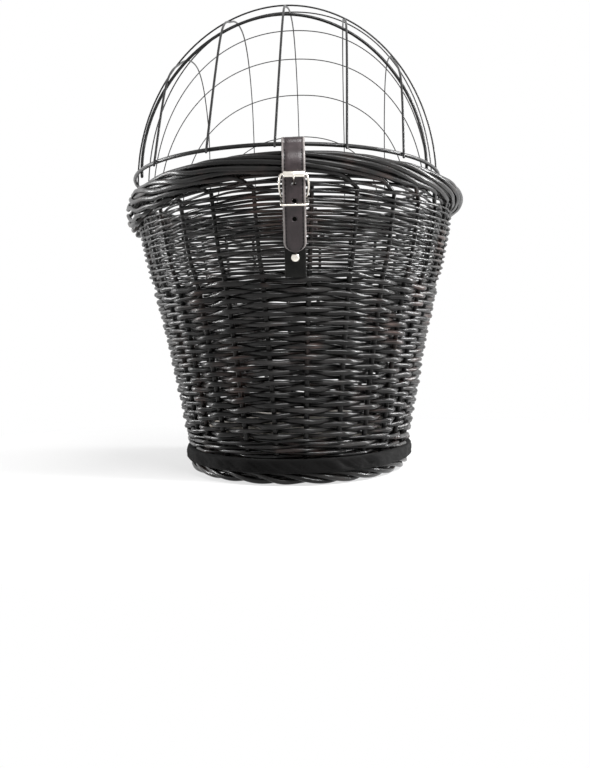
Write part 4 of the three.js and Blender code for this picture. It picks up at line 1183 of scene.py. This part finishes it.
@dataclass
class WireLid:
    """The wire lid: a ring, hoops that stand in it and ribs across them, slightly askew on the rim."""

    ring_half: tuple[float, float] = (157.0, 262.0)
    ring_height: float = 288.8
    ring_radius: float = 1.75
    rise: float = 198.2
    rib_radius: float = 1.1
    rib_far_radius: float = 0.6
    stub: float = 4.0
    near_stub: float = 6.0
    far_stub: float = 2.0
    slant: float = 3.2  # how far a rib's near end stands to the left
    bent: float = 6.0  # how far the right side is bent in
    weld: float = -0.15  # gap between welded wires, which sink into each other
    yaw: float = np.radians(-2.1)
    pivot_y: float = 70.0
    sides: int = 10
    ring_steps: int = 200
    hoop_steps: int = 73
    rib_steps: int = 12
    rib_places: tuple[float, ...] = (-0.687, -0.357, 0.005, 0.376, 0.7)
    rib_reach: float = 0.97  # share of a hoop's half width that a rib can still cross
    rib_taper: tuple[float, float] = (-0.3, 1.6)
    beside: float = 0.01  # share of a hoop's half width over which its direction is taken
    hoops: tuple[Hoop, ...] = (
        Hoop("lid_near_hoop", -0.47, -0.47, 0.728, 1.9, 1.45),
        Hoop("lid_hoop_2", -0.191, -0.191, 0.875, 1.95, 0.85),
        Hoop("lid_hoop_3", 0.1, 0.191, 0.982, 2.1, 0.7),
        Hoop("lid_hoop_4", 0.18, 0.534, 1.0, 2.15, 0.6),
        Hoop("lid_hoop_5", 0.27, 0.763, 0.905, 2.15, 0.6),
        Hoop("lid_hoop_6", 0.52, 0.916, 0.725, 2.2, 0.6),
        Hoop("lid_hoop_7", 0.76, 0.992, 0.48, 2.2, 0.6),
    )

    def askew(self, points: Array) -> Array:
        """Points turned with the lid about its pivot. Its right side is bent in a little first."""
        inwards = np.clip(points[..., 0] / self.ring_half[0], 0, 1) ** 2
        x, y = points[..., 0] - self.bent * inwards, points[..., 1] - self.pivot_y
        cosine, sine = np.cos(self.yaw), np.sin(self.yaw)
        return np.stack([x * cosine - y * sine, x * sine + y * cosine + self.pivot_y, points[..., 2]], -1)

    def ring_at(self, angle: Array | float) -> Array:
        """Points of the ring's middle."""
        return oval_points(*self.ring_half, np.asarray(angle), 0.0, self.ring_height)

    def half_width(self, hoop: Hoop) -> float:
        """Half the width of a hoop that stands just inside the ring."""
        inset = self.ring_radius + hoop.radius + self.weld
        share = hoop.foot * self.ring_half[1] / (self.ring_half[1] - inset)
        return (self.ring_half[0] - inset) * np.sqrt(1 - share ** 2)

    def hoop_points(self, hoop: Hoop, share: Array) -> Array:
        """Points of a hoop at shares of its half width: height = (1 - |s|^n)^(1/n), leaning as it rises."""
        height = (1 - np.abs(share) ** hoop.fullness) ** (1 / hoop.fullness)
        y = lerp(hoop.foot, hoop.top, height) * self.ring_half[1]
        z = self.ring_height + hoop.rise * self.rise * height
        return np.stack([self.half_width(hoop) * share, y, z], -1)

    def hoop_wire(self, hoop: Hoop) -> Array:
        """A hoop's course with a short stub past the ring at each foot."""
        angle = np.linspace(np.pi, 0, self.hoop_steps)
        share = np.sign(np.cos(angle)) * np.abs(np.cos(angle)) ** (2 / hoop.fullness)
        points = self.hoop_points(hoop, np.clip(share, -1, 1))
        lean = (hoop.top - hoop.foot) * self.ring_half[1] / (hoop.rise * self.rise)
        stub = np.array([0, -lean * self.stub, -self.stub])
        return np.concatenate([points[:1] + stub, points, points[-1:] + stub])

    def rib_end(self, x: float, side: int, above: Array, stub: float) -> Array:
        """A rib's end: where it passes the ring, outside it if near and inside it if far, and its tip.

        Args:
            x: The rib's place across the lid.
            side: -1 at the near end, 1 at the far end.
            above: The rib's last point on the hoops.
            stub: Length of the straight end past the ring.

        Returns:
            Two points.
        """
        angle = side * np.arccos(x / self.ring_half[0])
        ring = self.ring_at(angle)
        tangent = np.array([-self.ring_half[0] * np.sin(angle), self.ring_half[1] * np.cos(angle), 0])
        down = unit(ring - above)
        across = unit(np.cross(tangent, down))
        across = across if across @ ring * side < 0 else -across
        contact = ring + across * (self.ring_radius + self.rib_radius + self.weld)
        return np.stack([contact, contact + down * stub])

    def rib_wire(self, place: float) -> Array:
        """A rib's course: outside the near hoop, then under every other hoop wide enough to reach it."""
        x = place * self.ring_half[0]
        crossed = [hoop for hoop in self.hoops if abs(x) / self.half_width(hoop) < self.rib_reach]
        shares = np.array([x / self.half_width(hoop) for hoop in crossed])
        offsets = self.beside * np.array([-1.0, 0.0, 1.0])
        local = np.stack([self.hoop_points(h, s + offsets) for h, s in zip(crossed, shares)])
        angle = np.arccos(x / self.ring_half[0])
        course = np.concatenate([self.ring_at(-angle)[None], local[:, 1], self.ring_at(angle)[None]])
        inward = unit(np.cross(course[2:] - course[:-2], local[:, 2] - local[:, 0]))
        radii = np.array([hoop.radius for hoop in crossed])[:, None]
        depth = radii + np.linspace(self.rib_radius, self.rib_far_radius, len(radii))[:, None] + self.weld
        depth[0] = -depth[0]
        passing = local[:, 1] + inward * depth
        near = self.rib_end(x - self.slant, -1, passing[0], self.near_stub)
        far = self.rib_end(x, 1, passing[-1], self.far_stub)
        return smooth_course(np.concatenate([near[::-1], passing, far]), self.rib_steps)

    def build(self, finishes: Finishes) -> None:
        """Builds and dresses the ring, the hoops and the ribs."""
        ring = self.askew(self.ring_at(np.arange(self.ring_steps) * TURN / self.ring_steps))
        shape = Shape().add_ring(ring, self.ring_radius, self.sides, UP)
        dress(shape.build("ring_wire"), finishes.wire, Body.LID, "lid_ring")
        for hoop in self.hoops:
            course = self.askew(self.hoop_wire(hoop))
            shape = Shape().add(domed_rod(course, hoop.radius, self.sides, ALONG))
            dress(shape.build(f"{hoop.node}_wire"), finishes.wire, Body.LID, hoop.node)
        for number, place in enumerate(self.rib_places, 1):
            course = self.askew(self.rib_wire(place))
            thinned = smooth(np.linspace(*self.rib_taper, len(course)))
            radius = lerp(self.rib_radius, self.rib_far_radius, thinned)
            shape = Shape().add(domed_rod(course, radius, self.sides, ACROSS))
            dress(shape.build(f"rib_wire_{number}"), finishes.wire, Body.LID, f"lid_rib_{number}")


@dataclass(frozen=True)
class Stitch:
    """One stitch of a seam, by its distance from the next, its length and its thread's radius."""

    pitch: float
    length: float
    radius: float
    steps: int = 5
    sides: int = 6

    def along(self, line: Array, outward: Array) -> Array:
        """Stitches along a line: each a short thread that rises out of the leather and dips back into it.

        Args:
            line: Points of the seam.
            outward: Directions out of the leather, one for each point.

        Returns:
            A batch of grids, one for each stitch.
        """
        run = np.concatenate([[0], np.cumsum(np.linalg.norm(np.diff(line, axis=0), axis=-1))])
        starts = np.arange(self.pitch / 2, run[-1] - self.length, self.pitch)[:, None]
        part = np.linspace(0, 1, self.steps)[None, :]
        wanted = starts + part * self.length
        both = np.concatenate([line, outward], -1)
        sampled = np.stack([np.interp(wanted, run, column) for column in both.T], -1)
        lift = self.radius * (STITCH_RISE * np.sin(np.pi * part) - STITCH_SUNK)
        path = sampled[..., :3] + unit(sampled[..., 3:]) * lift[..., None]
        return rod(path, self.radius, self.sides, sampled[..., 3:])


@dataclass
class HingeLoops:
    """Two sewn leather loops that hang the lid's ring on the border at the far end."""

    lid: WireLid
    places: tuple[tuple[str, float], ...] = (("left", -16.0), ("right", 16.0))
    border: tuple[float, float] = (263.0, 271.5)
    border_radius: float = 19.4
    ring_radius: float = 3.5
    width: float = 12.0
    leather: float = 2.0
    rounding: float = 0.6
    edge: float = 0.35
    seam_inset: float = 1.7
    stitch: Stitch = Stitch(3.4, 2.5, 0.3)
    border_steps: int = 60
    ring_steps: int = 16
    steps: int = 140

    def course(self, x: float) -> tuple[Array, Array]:
        """The loop's middle line: a belt round the border and the ring, and its directions outwards."""
        ring = self.lid.ring_at(np.arccos(x / self.lid.ring_half[0]))[1:]
        border = np.array(self.border)
        axis = ring - border
        spread = np.arccos((self.border_radius - self.ring_radius) / np.hypot(*axis))
        lean = np.arctan2(axis[1], axis[0])
        big = np.linspace(lean + spread, lean - spread + TURN, self.border_steps)
        small = np.linspace(lean - spread, lean + spread, self.ring_steps)
        directions = np.concatenate([big, small])
        outward = np.stack([np.cos(directions), np.sin(directions)], -1)
        counts = (self.border_steps, self.ring_steps)
        middles = np.repeat([border, ring], counts, 0)
        reach = np.repeat([self.border_radius, self.ring_radius], counts)
        points = middles + outward * reach[:, None]
        sideways = np.full((len(points), 1), x)
        return np.concatenate([sideways, points], 1), np.concatenate([0 * sideways, outward], 1)

    def build(self, finishes: Finishes) -> None:
        """Builds and dresses each loop and its two seams."""
        section = belt_profile(self.width, self.leather, self.rounding)
        edge = pale_edges(section, self.width, self.edge)
        for side, x in self.places:
            course, outward = self.course(x)
            whole = np.concatenate([course, outward], 1)
            dense = evenly(whole, self.steps, closed=True)
            grid = self.lid.askew(sweep(dense[:, :3], section, ACROSS, closed=True))
            loop = Shape().add(grid, closed=True, shade=edge).build(f"leather_loop_{side}")
            dress(loop, finishes.strap, Body.LID, f"hinge_loop_{side}")
            seams = Shape()
            face = dense[:, :3] + dense[:, 3:] * (self.leather / 2)
            for shift in (-1, 1):
                line = face + ACROSS * shift * (self.width / 2 - self.seam_inset)
                seams.add(self.lid.askew(self.stitch.along(line, dense[:, 3:])))
            dress(seams.build(f"loop_thread_{side}"), finishes.thread, Body.LID)


@dataclass
class StrapLine:
    """Where the strap, its anchor and the buckle run in the Y-Z plane, as in the CAD model.

    Pairs are (y, z). The near end faces -Y.
    """

    wall: WillowWall
    border: tuple[float, float] = (-263.0, 271.5)
    border_radius: float = 12.0
    leather_gap: float = 0.4
    turn_gap: float = 0.35
    wire: float = 0.95
    hinge_height: float = 245.6
    hinge_out: float = 8.0
    anchor_thickness: float = 2.2
    anchor_end: float = 182.0
    rivet_height: float = 198.4
    rivet_head: float = 2.4
    strap_thickness: float = 3.0
    tip_height: float = 203.5
    meets_roll: float = np.radians(122)
    roller_height: float = 261.6
    roller_radius: float = 2.6
    keeper_height: float = 239.3
    hole_share: float = 0.64

    def wall_y(self, height: float) -> float:
        """The near wall's outer face."""
        return -float(self.wall.half_sizes(np.float64(height))[1])

    def __post_init__(self) -> None:
        """Works out the places one after the other."""
        at = np.array
        slope = unit(at([self.wall_y(self.rivet_height + 1) - self.wall_y(self.rivet_height - 1), 2.0]))
        self.rivet_out = at([-slope[1], slope[0]])
        self.rivet = at([self.wall_y(self.rivet_height), self.rivet_height])
        hinge_y = self.wall_y(self.hinge_height) - self.anchor_thickness - self.hinge_out
        self.hinge = at([hinge_y, self.hinge_height])
        self.eye_inner = self.wire + self.turn_gap
        stand = self.anchor_thickness / 2 + self.leather_gap
        self.anchor_rivet = self.rivet + self.rivet_out * stand
        self.anchor_foot = at([self.wall_y(self.anchor_end), self.anchor_end]) + self.rivet_out * stand
        down = unit(self.anchor_rivet - self.hinge)
        self.anchor_out = at([down[1], -down[0]])
        self.eye_middle = self.eye_inner + self.anchor_thickness / 2
        self.anchor_top = self.hinge - self.anchor_out * self.eye_middle
        half = self.strap_thickness / 2
        eye_outer = self.eye_inner + self.anchor_thickness
        self.strap_hinge = self.hinge + self.anchor_out * (eye_outer + 2 * self.leather_gap + half)
        over = self.anchor_thickness / 2 + self.leather_gap + half + self.rivet_head / 2
        self.strap_tip = self.on_anchor(self.tip_height) + self.anchor_out * over
        self.over_roll = self.border_radius + self.leather_gap + half
        reach = self.strap_hinge - at(self.border)
        lean = np.arctan2(reach[1], reach[0]) % TURN
        self.leave_angle = lean - np.arccos(self.over_roll / np.hypot(*reach))
        leaves = self.on_roll(at([self.leave_angle]))[0]
        share = (self.roller_height - leaves[1]) / (self.strap_hinge[1] - leaves[1])
        self.strap_roller = lerp(leaves, self.strap_hinge, share)
        run = unit(self.strap_hinge - leaves)
        out = (half + self.leather_gap + self.roller_radius) / abs(run[1])
        self.roller = at([self.strap_roller[0] - out, self.roller_height])
        self.prong_hole = lerp(self.strap_hinge, self.strap_roller, self.hole_share)

    def on_anchor(self, height: float) -> Array:
        """The anchor's middle at a height."""
        share = (height - self.anchor_rivet[1]) / (self.anchor_top[1] - self.anchor_rivet[1])
        return lerp(self.anchor_rivet, self.anchor_top, share)

    def on_tail(self, height: float) -> Array:
        """The strap's middle below the hinge bar, at a height."""
        share = (height - self.strap_hinge[1]) / (self.strap_tip[1] - self.strap_hinge[1])
        return lerp(self.strap_hinge, self.strap_tip, share)

    def on_roll(self, angle: Array) -> Array:
        """The strap's middle where it lies on the border."""
        return np.array(self.border) + self.over_roll * np.stack([np.cos(angle), np.sin(angle)], -1)


def upright(pairs: Array, x: float = 0.0) -> Array:
    """Pairs of the Y-Z plane as points at a place on X."""
    return np.concatenate([np.full((*pairs.shape[:-1], 1), x), pairs], -1)


@dataclass
class Straps:
    """The stitched lid strap and the anchor strap under it."""

    line: StrapLine
    lid: WireLid
    width: float = 19.0
    rounding: float = 0.8
    groove: float = 0.35
    edge: float = 0.9
    eye: float = 4.2
    eye_fold: tuple[float, float] = (-140.0, 180.0)
    eye_leather: float = 1.6
    folded_steps: int = 35  # steps of the course from the ring, over which the strap is single
    fold_ease: int = 14
    point: float = 9.0
    nose: float = 2.5
    nose_half: float = 0.5
    holes: int = 3
    hole: float = 1.9
    hole_pitch: float = 13.8
    buckled_hole: float = 0.9  # share of the size of the hole that the prong fills
    punch_reach: float = 14.0
    seam_inset: float = 2.5
    sewn_from: int = 62
    stitch: Stitch = Stitch(3.3, 2.4, 0.34)
    thread_sunk: float = 0.1
    ring_steps: int = 400
    eye_steps: int = 40
    roll_steps: int = 12
    rough_steps: int = 260
    easing: int = 5
    steps: int = 240
    nose_steps: int = 60
    punch_sides: int = 20
    anchor_width: float = 18.0
    anchor_rounding: float = 0.6
    anchor_edge: float = 0.4
    anchor_fold: tuple[float, float] = (35.0, 340.0)
    anchor_fold_steps: int = 30
    anchor_steps: int = 90
    slot: float = 2.0
    slot_length: float = 9.0
    slot_rounding: float = 0.4
    slot_reach: tuple[float, float] = (-8.0, 1.5)

    @cached_property
    def course(self) -> Array:
        """The strap's middle: round the lid's ring, over the border, past the buckle and on to its tip."""
        angles = np.linspace(np.pi, TURN, self.ring_steps)
        ring = self.lid.askew(self.lid.ring_at(angles))
        eye = np.array([np.interp(0, ring[:, 0], ring[:, 1]), self.lid.ring_height])
        fold = np.radians(np.linspace(*self.eye_fold, self.eye_steps))
        loop = eye + self.eye * np.stack([np.cos(fold), np.sin(fold)], -1)
        on_border = np.linspace(self.line.meets_roll, self.line.leave_angle, self.roll_steps)
        roll = self.line.on_roll(on_border)
        tail = np.stack([self.line.strap_roller, self.line.strap_hinge, self.line.strap_tip])
        rough = evenly(np.concatenate([loop, roll, tail]), self.rough_steps)
        kernel = np.ones(self.easing) / self.easing
        padded = np.pad(rough, ((self.easing // 2, self.easing // 2), (0, 0)), mode="edge")
        eased = np.stack([np.convolve(padded[:, axis], kernel, "valid") for axis in range(2)], -1)
        eased[[0, -1]] = rough[[0, -1]]
        return upright(evenly(eased, self.steps))

    @cached_property
    def to_tip(self) -> Array:
        """Distance from each point of the strap's course to its tip."""
        steps = np.linalg.norm(np.diff(self.course, axis=0), axis=-1)
        return np.append(np.cumsum(steps[::-1])[::-1], 0.0)

    def half_width(self, distance: Array) -> Array:
        """Half the strap's width near its tip: the pointed end is a quadratic curve with a round nose."""
        t = np.linspace(1, 0, self.nose_steps)
        reach = self.point * (1 - t) ** 2 + 2 * self.nose * t * (1 - t)
        return np.interp(distance, reach, self.width / 2 * (1 - t ** 2))

    def lid_strap(self, finishes: Finishes) -> None:
        """Builds the strap: a two-layer strip, single where it folds round the ring, with real holes."""
        full = self.line.strap_thickness
        half = np.maximum(self.half_width(self.to_tip), self.nose_half)
        folded = smooth((self.folded_steps - np.arange(len(self.course))) / self.fold_ease)
        thickness = lerp(full, self.eye_leather, folded)
        section = belt_profile(self.width, full, self.rounding, self.groove, self.seam_inset)
        sizes = np.stack([thickness / full, half / (self.width / 2)], -1)
        grid = sweep(self.course, section * sizes[:, None, :], ACROSS)
        edge = pale_edges(section, self.width, self.edge)
        strap = Shape().add(grid, shade=edge).build("leather_strap")
        heights = self.line.prong_hole[1] - np.arange(self.holes) * self.hole_pitch
        reach = self.punch_reach * np.array([-1, 1])
        tools = []
        for height in heights:
            y = self.line.on_tail(height)[0]
            path = upright(np.stack([y + reach, height + 0 * reach], -1))
            radius = self.hole if height < heights[0] else self.hole * self.buckled_hole
            tools.append(Shape().add(rod(path, radius, self.punch_sides, UP)).build("hole_punch"))
        punch(strap, *tools)
        dress(strap, finishes.strap, Body.LID, "lid_strap")
        out = np.cross(unit(np.gradient(self.course, axis=0)), ACROSS)
        inset = half * (1 - 2 * self.seam_inset / self.width)
        sewn = slice(self.sewn_from, int(np.argmax(half < self.width / 6)))
        seams = Shape()
        for side in (-1, 1):
            face = self.course + out * (thickness / 2)[:, None] + ACROSS * (side * inset)[:, None]
            seams.add(self.stitch.along(face[sewn] - self.thread_sunk * out[sewn], out[sewn]))
        dress(seams.build("strap_thread"), finishes.thread, Body.LID)

    def anchor(self, finishes: Finishes) -> None:
        """Builds the anchor strap: round the buckle's bar, down to the rivet and on down the wall."""
        line = self.line
        turn = np.radians(np.linspace(*self.anchor_fold, self.anchor_fold_steps))[:, None]
        along = np.array([-line.anchor_out[1], line.anchor_out[0]])
        eye = line.hinge - line.eye_middle * (np.cos(turn) * line.anchor_out - np.sin(turn) * along)
        tail = np.stack([line.anchor_top, line.anchor_rivet, line.anchor_foot])
        loop = eye[::-1] if eye[-1, 1] > eye[0, 1] else eye
        course = upright(evenly(np.concatenate([loop, tail]), self.anchor_steps))
        section = belt_profile(self.anchor_width, line.anchor_thickness, self.anchor_rounding)
        edge = pale_edges(section, self.anchor_width, self.anchor_edge)
        strap = Shape().add(sweep(course, section, ACROSS), shade=edge).build("leather_anchor")
        path = upright(np.stack([line.hinge + [reach, 0] for reach in self.slot_reach]))
        block = belt_profile(self.slot_length, 2 * self.slot, self.slot_rounding)[:, ::-1] * [1, -1]
        slot = Shape().add(sweep(path, block, UP)).build("prong_slot")
        punch(strap, slot)
        dress(strap, finishes.anchor, Body.BASKET, "anchor_strap")

    def build(self, finishes: Finishes) -> None:
        """Builds and dresses the straps."""
        self.lid_strap(finishes)
        self.anchor(finishes)


@dataclass
class Rivet:
    """The domed rivet that holds the anchor strap to the wall."""

    line: StrapLine
    radius: float = 3.7
    rim: float = 0.5
    bevel: float = 0.1
    wall_depth: float = 10.0
    washer: float = 1.2
    shank: float = 1.6
    tail: float = 2.8
    tail_thickness: float = 1.2
    tail_ease: float = 0.4
    steps: int = 9
    sides: int = 28

    def profile(self) -> Array:
        """Radii and heights from the tail's end up: a spread tail, the shank, a flat rim and the dome."""
        line = self.line
        seat = 3 * line.leather_gap + line.anchor_thickness
        foot = -self.wall_depth - 2 * line.leather_gap - self.washer
        end = foot - self.tail_thickness
        dome = np.linspace(0, np.pi / 2, self.steps)
        rise = seat + lerp(self.rim, line.rivet_head, np.sin(dome))
        head = np.stack([self.radius * np.cos(dome), rise], -1)
        head[-1, 0] = AXIS_RADIUS
        shank = np.array([
            [AXIS_RADIUS, end], [self.tail - self.tail_ease, end], [self.tail, end + self.tail_ease],
            [self.tail, foot], [self.shank, foot], [self.shank, seat],
            [self.radius - self.bevel, seat], [self.radius, seat + self.bevel],
        ])
        return np.concatenate([shank, head])

    def build(self, finishes: Finishes) -> None:
        """Turns the rivet, stands it square to the wall and dresses it."""
        grid = turned(self.profile(), self.sides)[:, ::-1]
        shape = Shape().add(turned_round(grid, upright(self.line.rivet_out), upright(self.line.rivet)))
        dress(shape.build("domed_rivet"), finishes.nickel, Body.BASKET, "strap_rivet")


@dataclass
class Buckle:
    """The roller buckle: wire frame, roller and prong, and the wire keeper below it."""

    line: StrapLine
    strap_width: float = 19.0
    bulge: float = 1.1
    corner: float = 1.8
    roller_length: float = 17.0
    prong_ring: float = 0.95
    prong_width: float = 3.2
    prong_tip: float = 0.8  # share of the wire's radius that is left at the tip
    under_roller: tuple[float, ...] = (8.0, 42.0, 70.0)
    tube_ease: float = 0.22  # share of a tube's wall by which its edges are eased
    keeper_corner: float = 2.0
    wire_sides: int = 10
    roller_sides: int = 32
    ring_sides: int = 28
    prong_sides: int = 12
    prong_steps: int = 10
    corner_steps: int = 6
    side_steps: int = 14
    frame_steps: int = 120
    keeper_steps: int = 110

    @property
    def half(self) -> float:
        """Half the inside width that the strap needs, to the middle of the wire."""
        return self.strap_width / 2 + self.line.leather_gap + self.line.wire

    def frame_outline(self, length: float) -> Array:
        """The frame's outline as pairs across and up: straight bars, round corners and bowed sides."""
        at, turn = np.array, self.corner_steps
        half, corner, bow = self.half, self.corner, self.half + 2 * self.bulge
        right = np.concatenate([
            bend(at([half - corner, 0]), at([half, 0]), at([half, corner]), turn),
            bend(at([half, corner]), at([bow, length / 2]), at([half, length - corner]), self.side_steps),
            bend(at([half, length - corner]), at([half, length]), at([half - corner, length]), turn),
            [[half - corner, length]],
        ])
        return np.concatenate([right, right[::-1] * [-1, 1]])

    def frame(self, finishes: Finishes) -> None:
        """Builds the frame's wire in the plane of the hinge bar and the roller."""
        reach = self.line.roller - self.line.hinge
        flat = evenly(self.frame_outline(np.hypot(*reach)), self.frame_steps, closed=True)
        up = unit(upright(reach))
        path = upright(self.line.hinge) + flat[:, :1] * ACROSS + flat[:, 1:] * up
        shape = Shape().add_ring(path, self.line.wire, self.wire_sides, np.cross(ACROSS, up))
        dress(shape.build("buckle_wire"), finishes.nickel, Body.BUCKLE, "buckle_frame")

    def tube(self, inner: float, outer: float, length: float, place: Array, sides: int) -> Array:
        """A tube along X with eased edges, as a closed turned section."""
        half, ease = length / 2, (outer - inner) * self.tube_ease
        section = np.array([
            [inner, -half + ease], [inner + ease, -half], [outer - ease, -half], [outer, -half + ease],
            [outer, half - ease], [outer - ease, half], [inner + ease, half], [inner, half - ease],
        ])
        grid = turned(section, sides)
        return upright(place) + np.stack([grid[..., 2], grid[..., 0], grid[..., 1]], -1)

    def roller(self, finishes: Finishes) -> None:
        """Builds the roller: a thin tube on the frame's outer bar."""
        line = self.line
        inner = line.wire + line.turn_gap
        grid = self.tube(inner, line.roller_radius, self.roller_length, line.roller, self.roller_sides)
        shape = Shape().add(grid, closed=True)
        dress(shape.build("roller_tube"), finishes.nickel, Body.ROLLER, "buckle_roller")

    def prong(self, finishes: Finishes) -> None:
        """Builds the prong: a ring on the hinge bar, and a wire through the strap to the roller's front."""
        line = self.line
        inner = line.wire + line.turn_gap
        clear = line.roller_radius + line.wire + line.leather_gap
        angle = np.radians(self.under_roller)
        tips = line.roller - clear * np.stack([np.sin(angle), np.cos(angle)], -1)
        start = line.hinge + [0, inner + self.prong_ring / 2]
        knots = np.concatenate([start[None], line.prong_hole[None], tips])
        path = upright(smooth_course(knots, self.prong_steps))
        taper = lerp(line.wire, line.wire * self.prong_tip, np.linspace(0, 1, len(path)) ** 3)
        shape = Shape().add(domed_rod(path, taper, self.prong_sides, ACROSS))
        ring = self.tube(inner, inner + self.prong_ring, self.prong_width, line.hinge, self.ring_sides)
        shape.add(ring, closed=True)
        dress(shape.build("prong_wire"), finishes.nickel, Body.PRONG, "buckle_prong")

    def keeper(self, finishes: Finishes) -> None:
        """Builds the keeper: a rectangle of wire with round corners, square to the strap's tail."""
        line, at, turn = self.line, np.array, self.corner_steps
        tail = line.on_tail(line.keeper_height)
        along = unit(line.strap_tip - line.strap_hinge)
        out = at([along[1], -along[0]])
        front = line.strap_thickness / 2 + line.leather_gap + line.wire
        to_anchor = (tail - line.on_anchor(line.keeper_height)) @ out
        back = to_anchor + line.anchor_thickness / 2 + line.leather_gap + line.wire
        half, corner = self.half, self.keeper_corner
        right = np.concatenate([
            bend(at([half - corner, -back]), at([half, -back]), at([half, corner - back]), turn),
            bend(at([half, front - corner]), at([half, front]), at([half - corner, front]), turn),
            [[half - corner, front]],
        ])
        outline = np.concatenate([right, right[::-1] * [-1, 1]])
        flat = evenly(outline, self.keeper_steps, closed=True)
        path = upright(tail) + flat[:, :1] * ACROSS + flat[:, 1:] * upright(out)
        shape = Shape().add_ring(path, line.wire, self.wire_sides, upright(along))
        dress(shape.build("keeper_wire"), finishes.nickel, Body.BASKET, "strap_keeper")

    def build(self, finishes: Finishes) -> None:
        """Builds and dresses the buckle's pieces and the keeper."""
        self.frame(finishes)
        self.roller(finishes)
        self.prong(finishes)
        self.keeper(finishes)


@dataclass
class RackFixing:
    """The board, floor plates, clamp bars, bolts and wing nuts, which keep their CAD shapes."""

    zinc_starts: tuple[str, ...] = ("floor_plate", "clamp_bar", "clamp_bolt", "wing_nut", "rivet_washer")

    def build(self, finishes: Finishes) -> None:
        """Gives the CAD nodes their finishes."""
        for name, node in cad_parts.items():
            finish = finishes.plywood if name == "base_board" else None
            finish = finishes.zinc if name.startswith(self.zinc_starts) else finish
            if finish is not None:
                node.data.materials.clear()
                node.data.materials.append(finish.material)
                LOG.info("%s keeps its shape", name)


@dataclass(frozen=True)
class Lamp:
    """A soft lamp: where it stands, its size and its strength."""

    name: str
    place: tuple[float, float, float]
    turn: tuple[float, float, float]
    size: tuple[float, float]
    watts: float


@dataclass
class Studio:
    """Pale floor, white surroundings, soft lamps and the camera, in metres and degrees."""

    floor_half: float = 6.0
    floor_colour: Colour = (0.86, 0.86, 0.86)
    floor_gloss: float = 0.1
    floor_roughness: float = 0.9
    floor_glow: tuple[float, float] = (0.7, 1.0)
    shadow_reach: tuple[float, float] = (0.22, 0.6)
    ambient: float = 0.07
    camera_place: tuple[float, float, float] = (0.0, -1.2, 0.133)
    lens: float = 54.0
    sensor: float = 36.0
    shift: tuple[float, float] = (-0.0026, -0.0638)
    roll: float = 1.2
    lamps: tuple[Lamp, ...] = (
        Lamp("left_strip", (-0.95, 0.34, 0.36), (0.0, -84.0, -14.0), (0.6, 0.08), 7.5),
        Lamp("right_strip", (0.95, 0.24, 0.5), (0.0, 78.0, 10.0), (0.9, 0.08), 18.0),
        Lamp("top_right", (0.5, -1.05, 1.3), (35.0, 0.0, 22.0), (0.9, 0.14), 38.0),
        Lamp("right_front", (0.95, -0.85, 0.75), (62.0, 0.0, 52.0), (0.3, 0.1), 20.0),
    )

    def floor(self) -> None:
        """Lays the floor. A ray from the camera sees a share of plain white and a share of lit floor."""
        half = self.floor_half
        mesh = bpy.data.meshes.new("floor")
        corners = [(-half, -half, 0), (half, -half, 0), (half, half, 0), (-half, half, 0)]
        mesh.from_pydata(corners, [], [(0, 1, 2, 3)])
        floor = bpy.data.objects.new("floor", mesh)
        bpy.context.scene.collection.objects.link(floor)
        graph = Graph(bpy.data.materials.new("pale_floor"))
        graph.set(Base_Color=self.floor_colour)
        graph.set(Roughness=self.floor_roughness, Specular_IOR_Level=self.floor_gloss)
        glow = graph.node("Emission", {"Color": (1.0, 1.0, 1.0), "Strength": 1.0}).outputs[0]
        away = graph.node("VectorMath", {0: graph.place()}, operation="LENGTH").outputs["Value"]
        white = graph.spread(away, *self.shadow_reach, *self.floor_glow)
        share = graph.work("MULTIPLY", graph.seen(), white)
        both = graph.node("MixShader", {0: share, 1: graph.shader.outputs[0], 2: glow}).outputs[0]
        graph.feed(graph.tree.nodes["Material Output"].inputs["Surface"], both)
        mesh.materials.append(graph.block)

    def world(self) -> None:
        """White for camera, glossy and transmitted rays, and a soft fill for the rest."""
        world = bpy.data.worlds.new("surroundings")
        bpy.context.scene.world = world
        graph = Graph(world)
        background = graph.tree.nodes["Background"]
        graph.feed(background.inputs["Color"], (1.0, 1.0, 1.0))
        strength = graph.spread(graph.seen(), 0.0, 1.0, self.ambient, 1.0)
        graph.feed(background.inputs["Strength"], strength)

    def light(self) -> None:
        """Stands the lamps round the object."""
        for lamp in self.lamps:
            data = bpy.data.lights.new(lamp.name, "AREA")
            data.shape = "RECTANGLE"
            data.size, data.size_y = lamp.size
            data.energy = lamp.watts
            piece = bpy.data.objects.new(lamp.name, data)
            piece.location = lamp.place
            piece.rotation_euler = np.radians(lamp.turn)
            bpy.context.scene.collection.objects.link(piece)

    def camera(self) -> None:
        """Stands the camera at the distance, height and roll assumed for the photograph."""
        data = bpy.data.cameras.new("camera")
        data.sensor_fit = "VERTICAL"
        data.sensor_height = self.sensor
        data.lens = self.lens
        data.shift_x, data.shift_y = self.shift
        camera = bpy.data.objects.new("camera", data)
        camera.location = self.camera_place
        camera.rotation_euler = (np.pi / 2, np.radians(self.roll), 0.0)
        bpy.context.scene.collection.objects.link(camera)
        bpy.context.scene.camera = camera

    def build(self) -> None:
        """Sets the whole studio."""
        self.floor()
        self.world()
        self.light()
        self.camera()
        bpy.context.scene.view_settings.view_transform = "Standard"


def main() -> None:
    """Builds each sub-assembly in turn, then the studio."""
    logging.basicConfig(level=logging.INFO, format="%(name)s: %(message)s")
    finishes = Finishes()
    wall = WillowWall()
    lid = WireLid()
    line = StrapLine(wall)
    parts = (
        wall, RimBorder(wall), FootBorder(), BaseBand(), FloorCushion(), lid, HingeLoops(lid),
        Straps(line, lid), Rivet(line), Buckle(line), RackFixing(),
    )
    for part in parts:
        part.build(finishes)
    Studio().build()


if __name__ == "__main__":
    main()
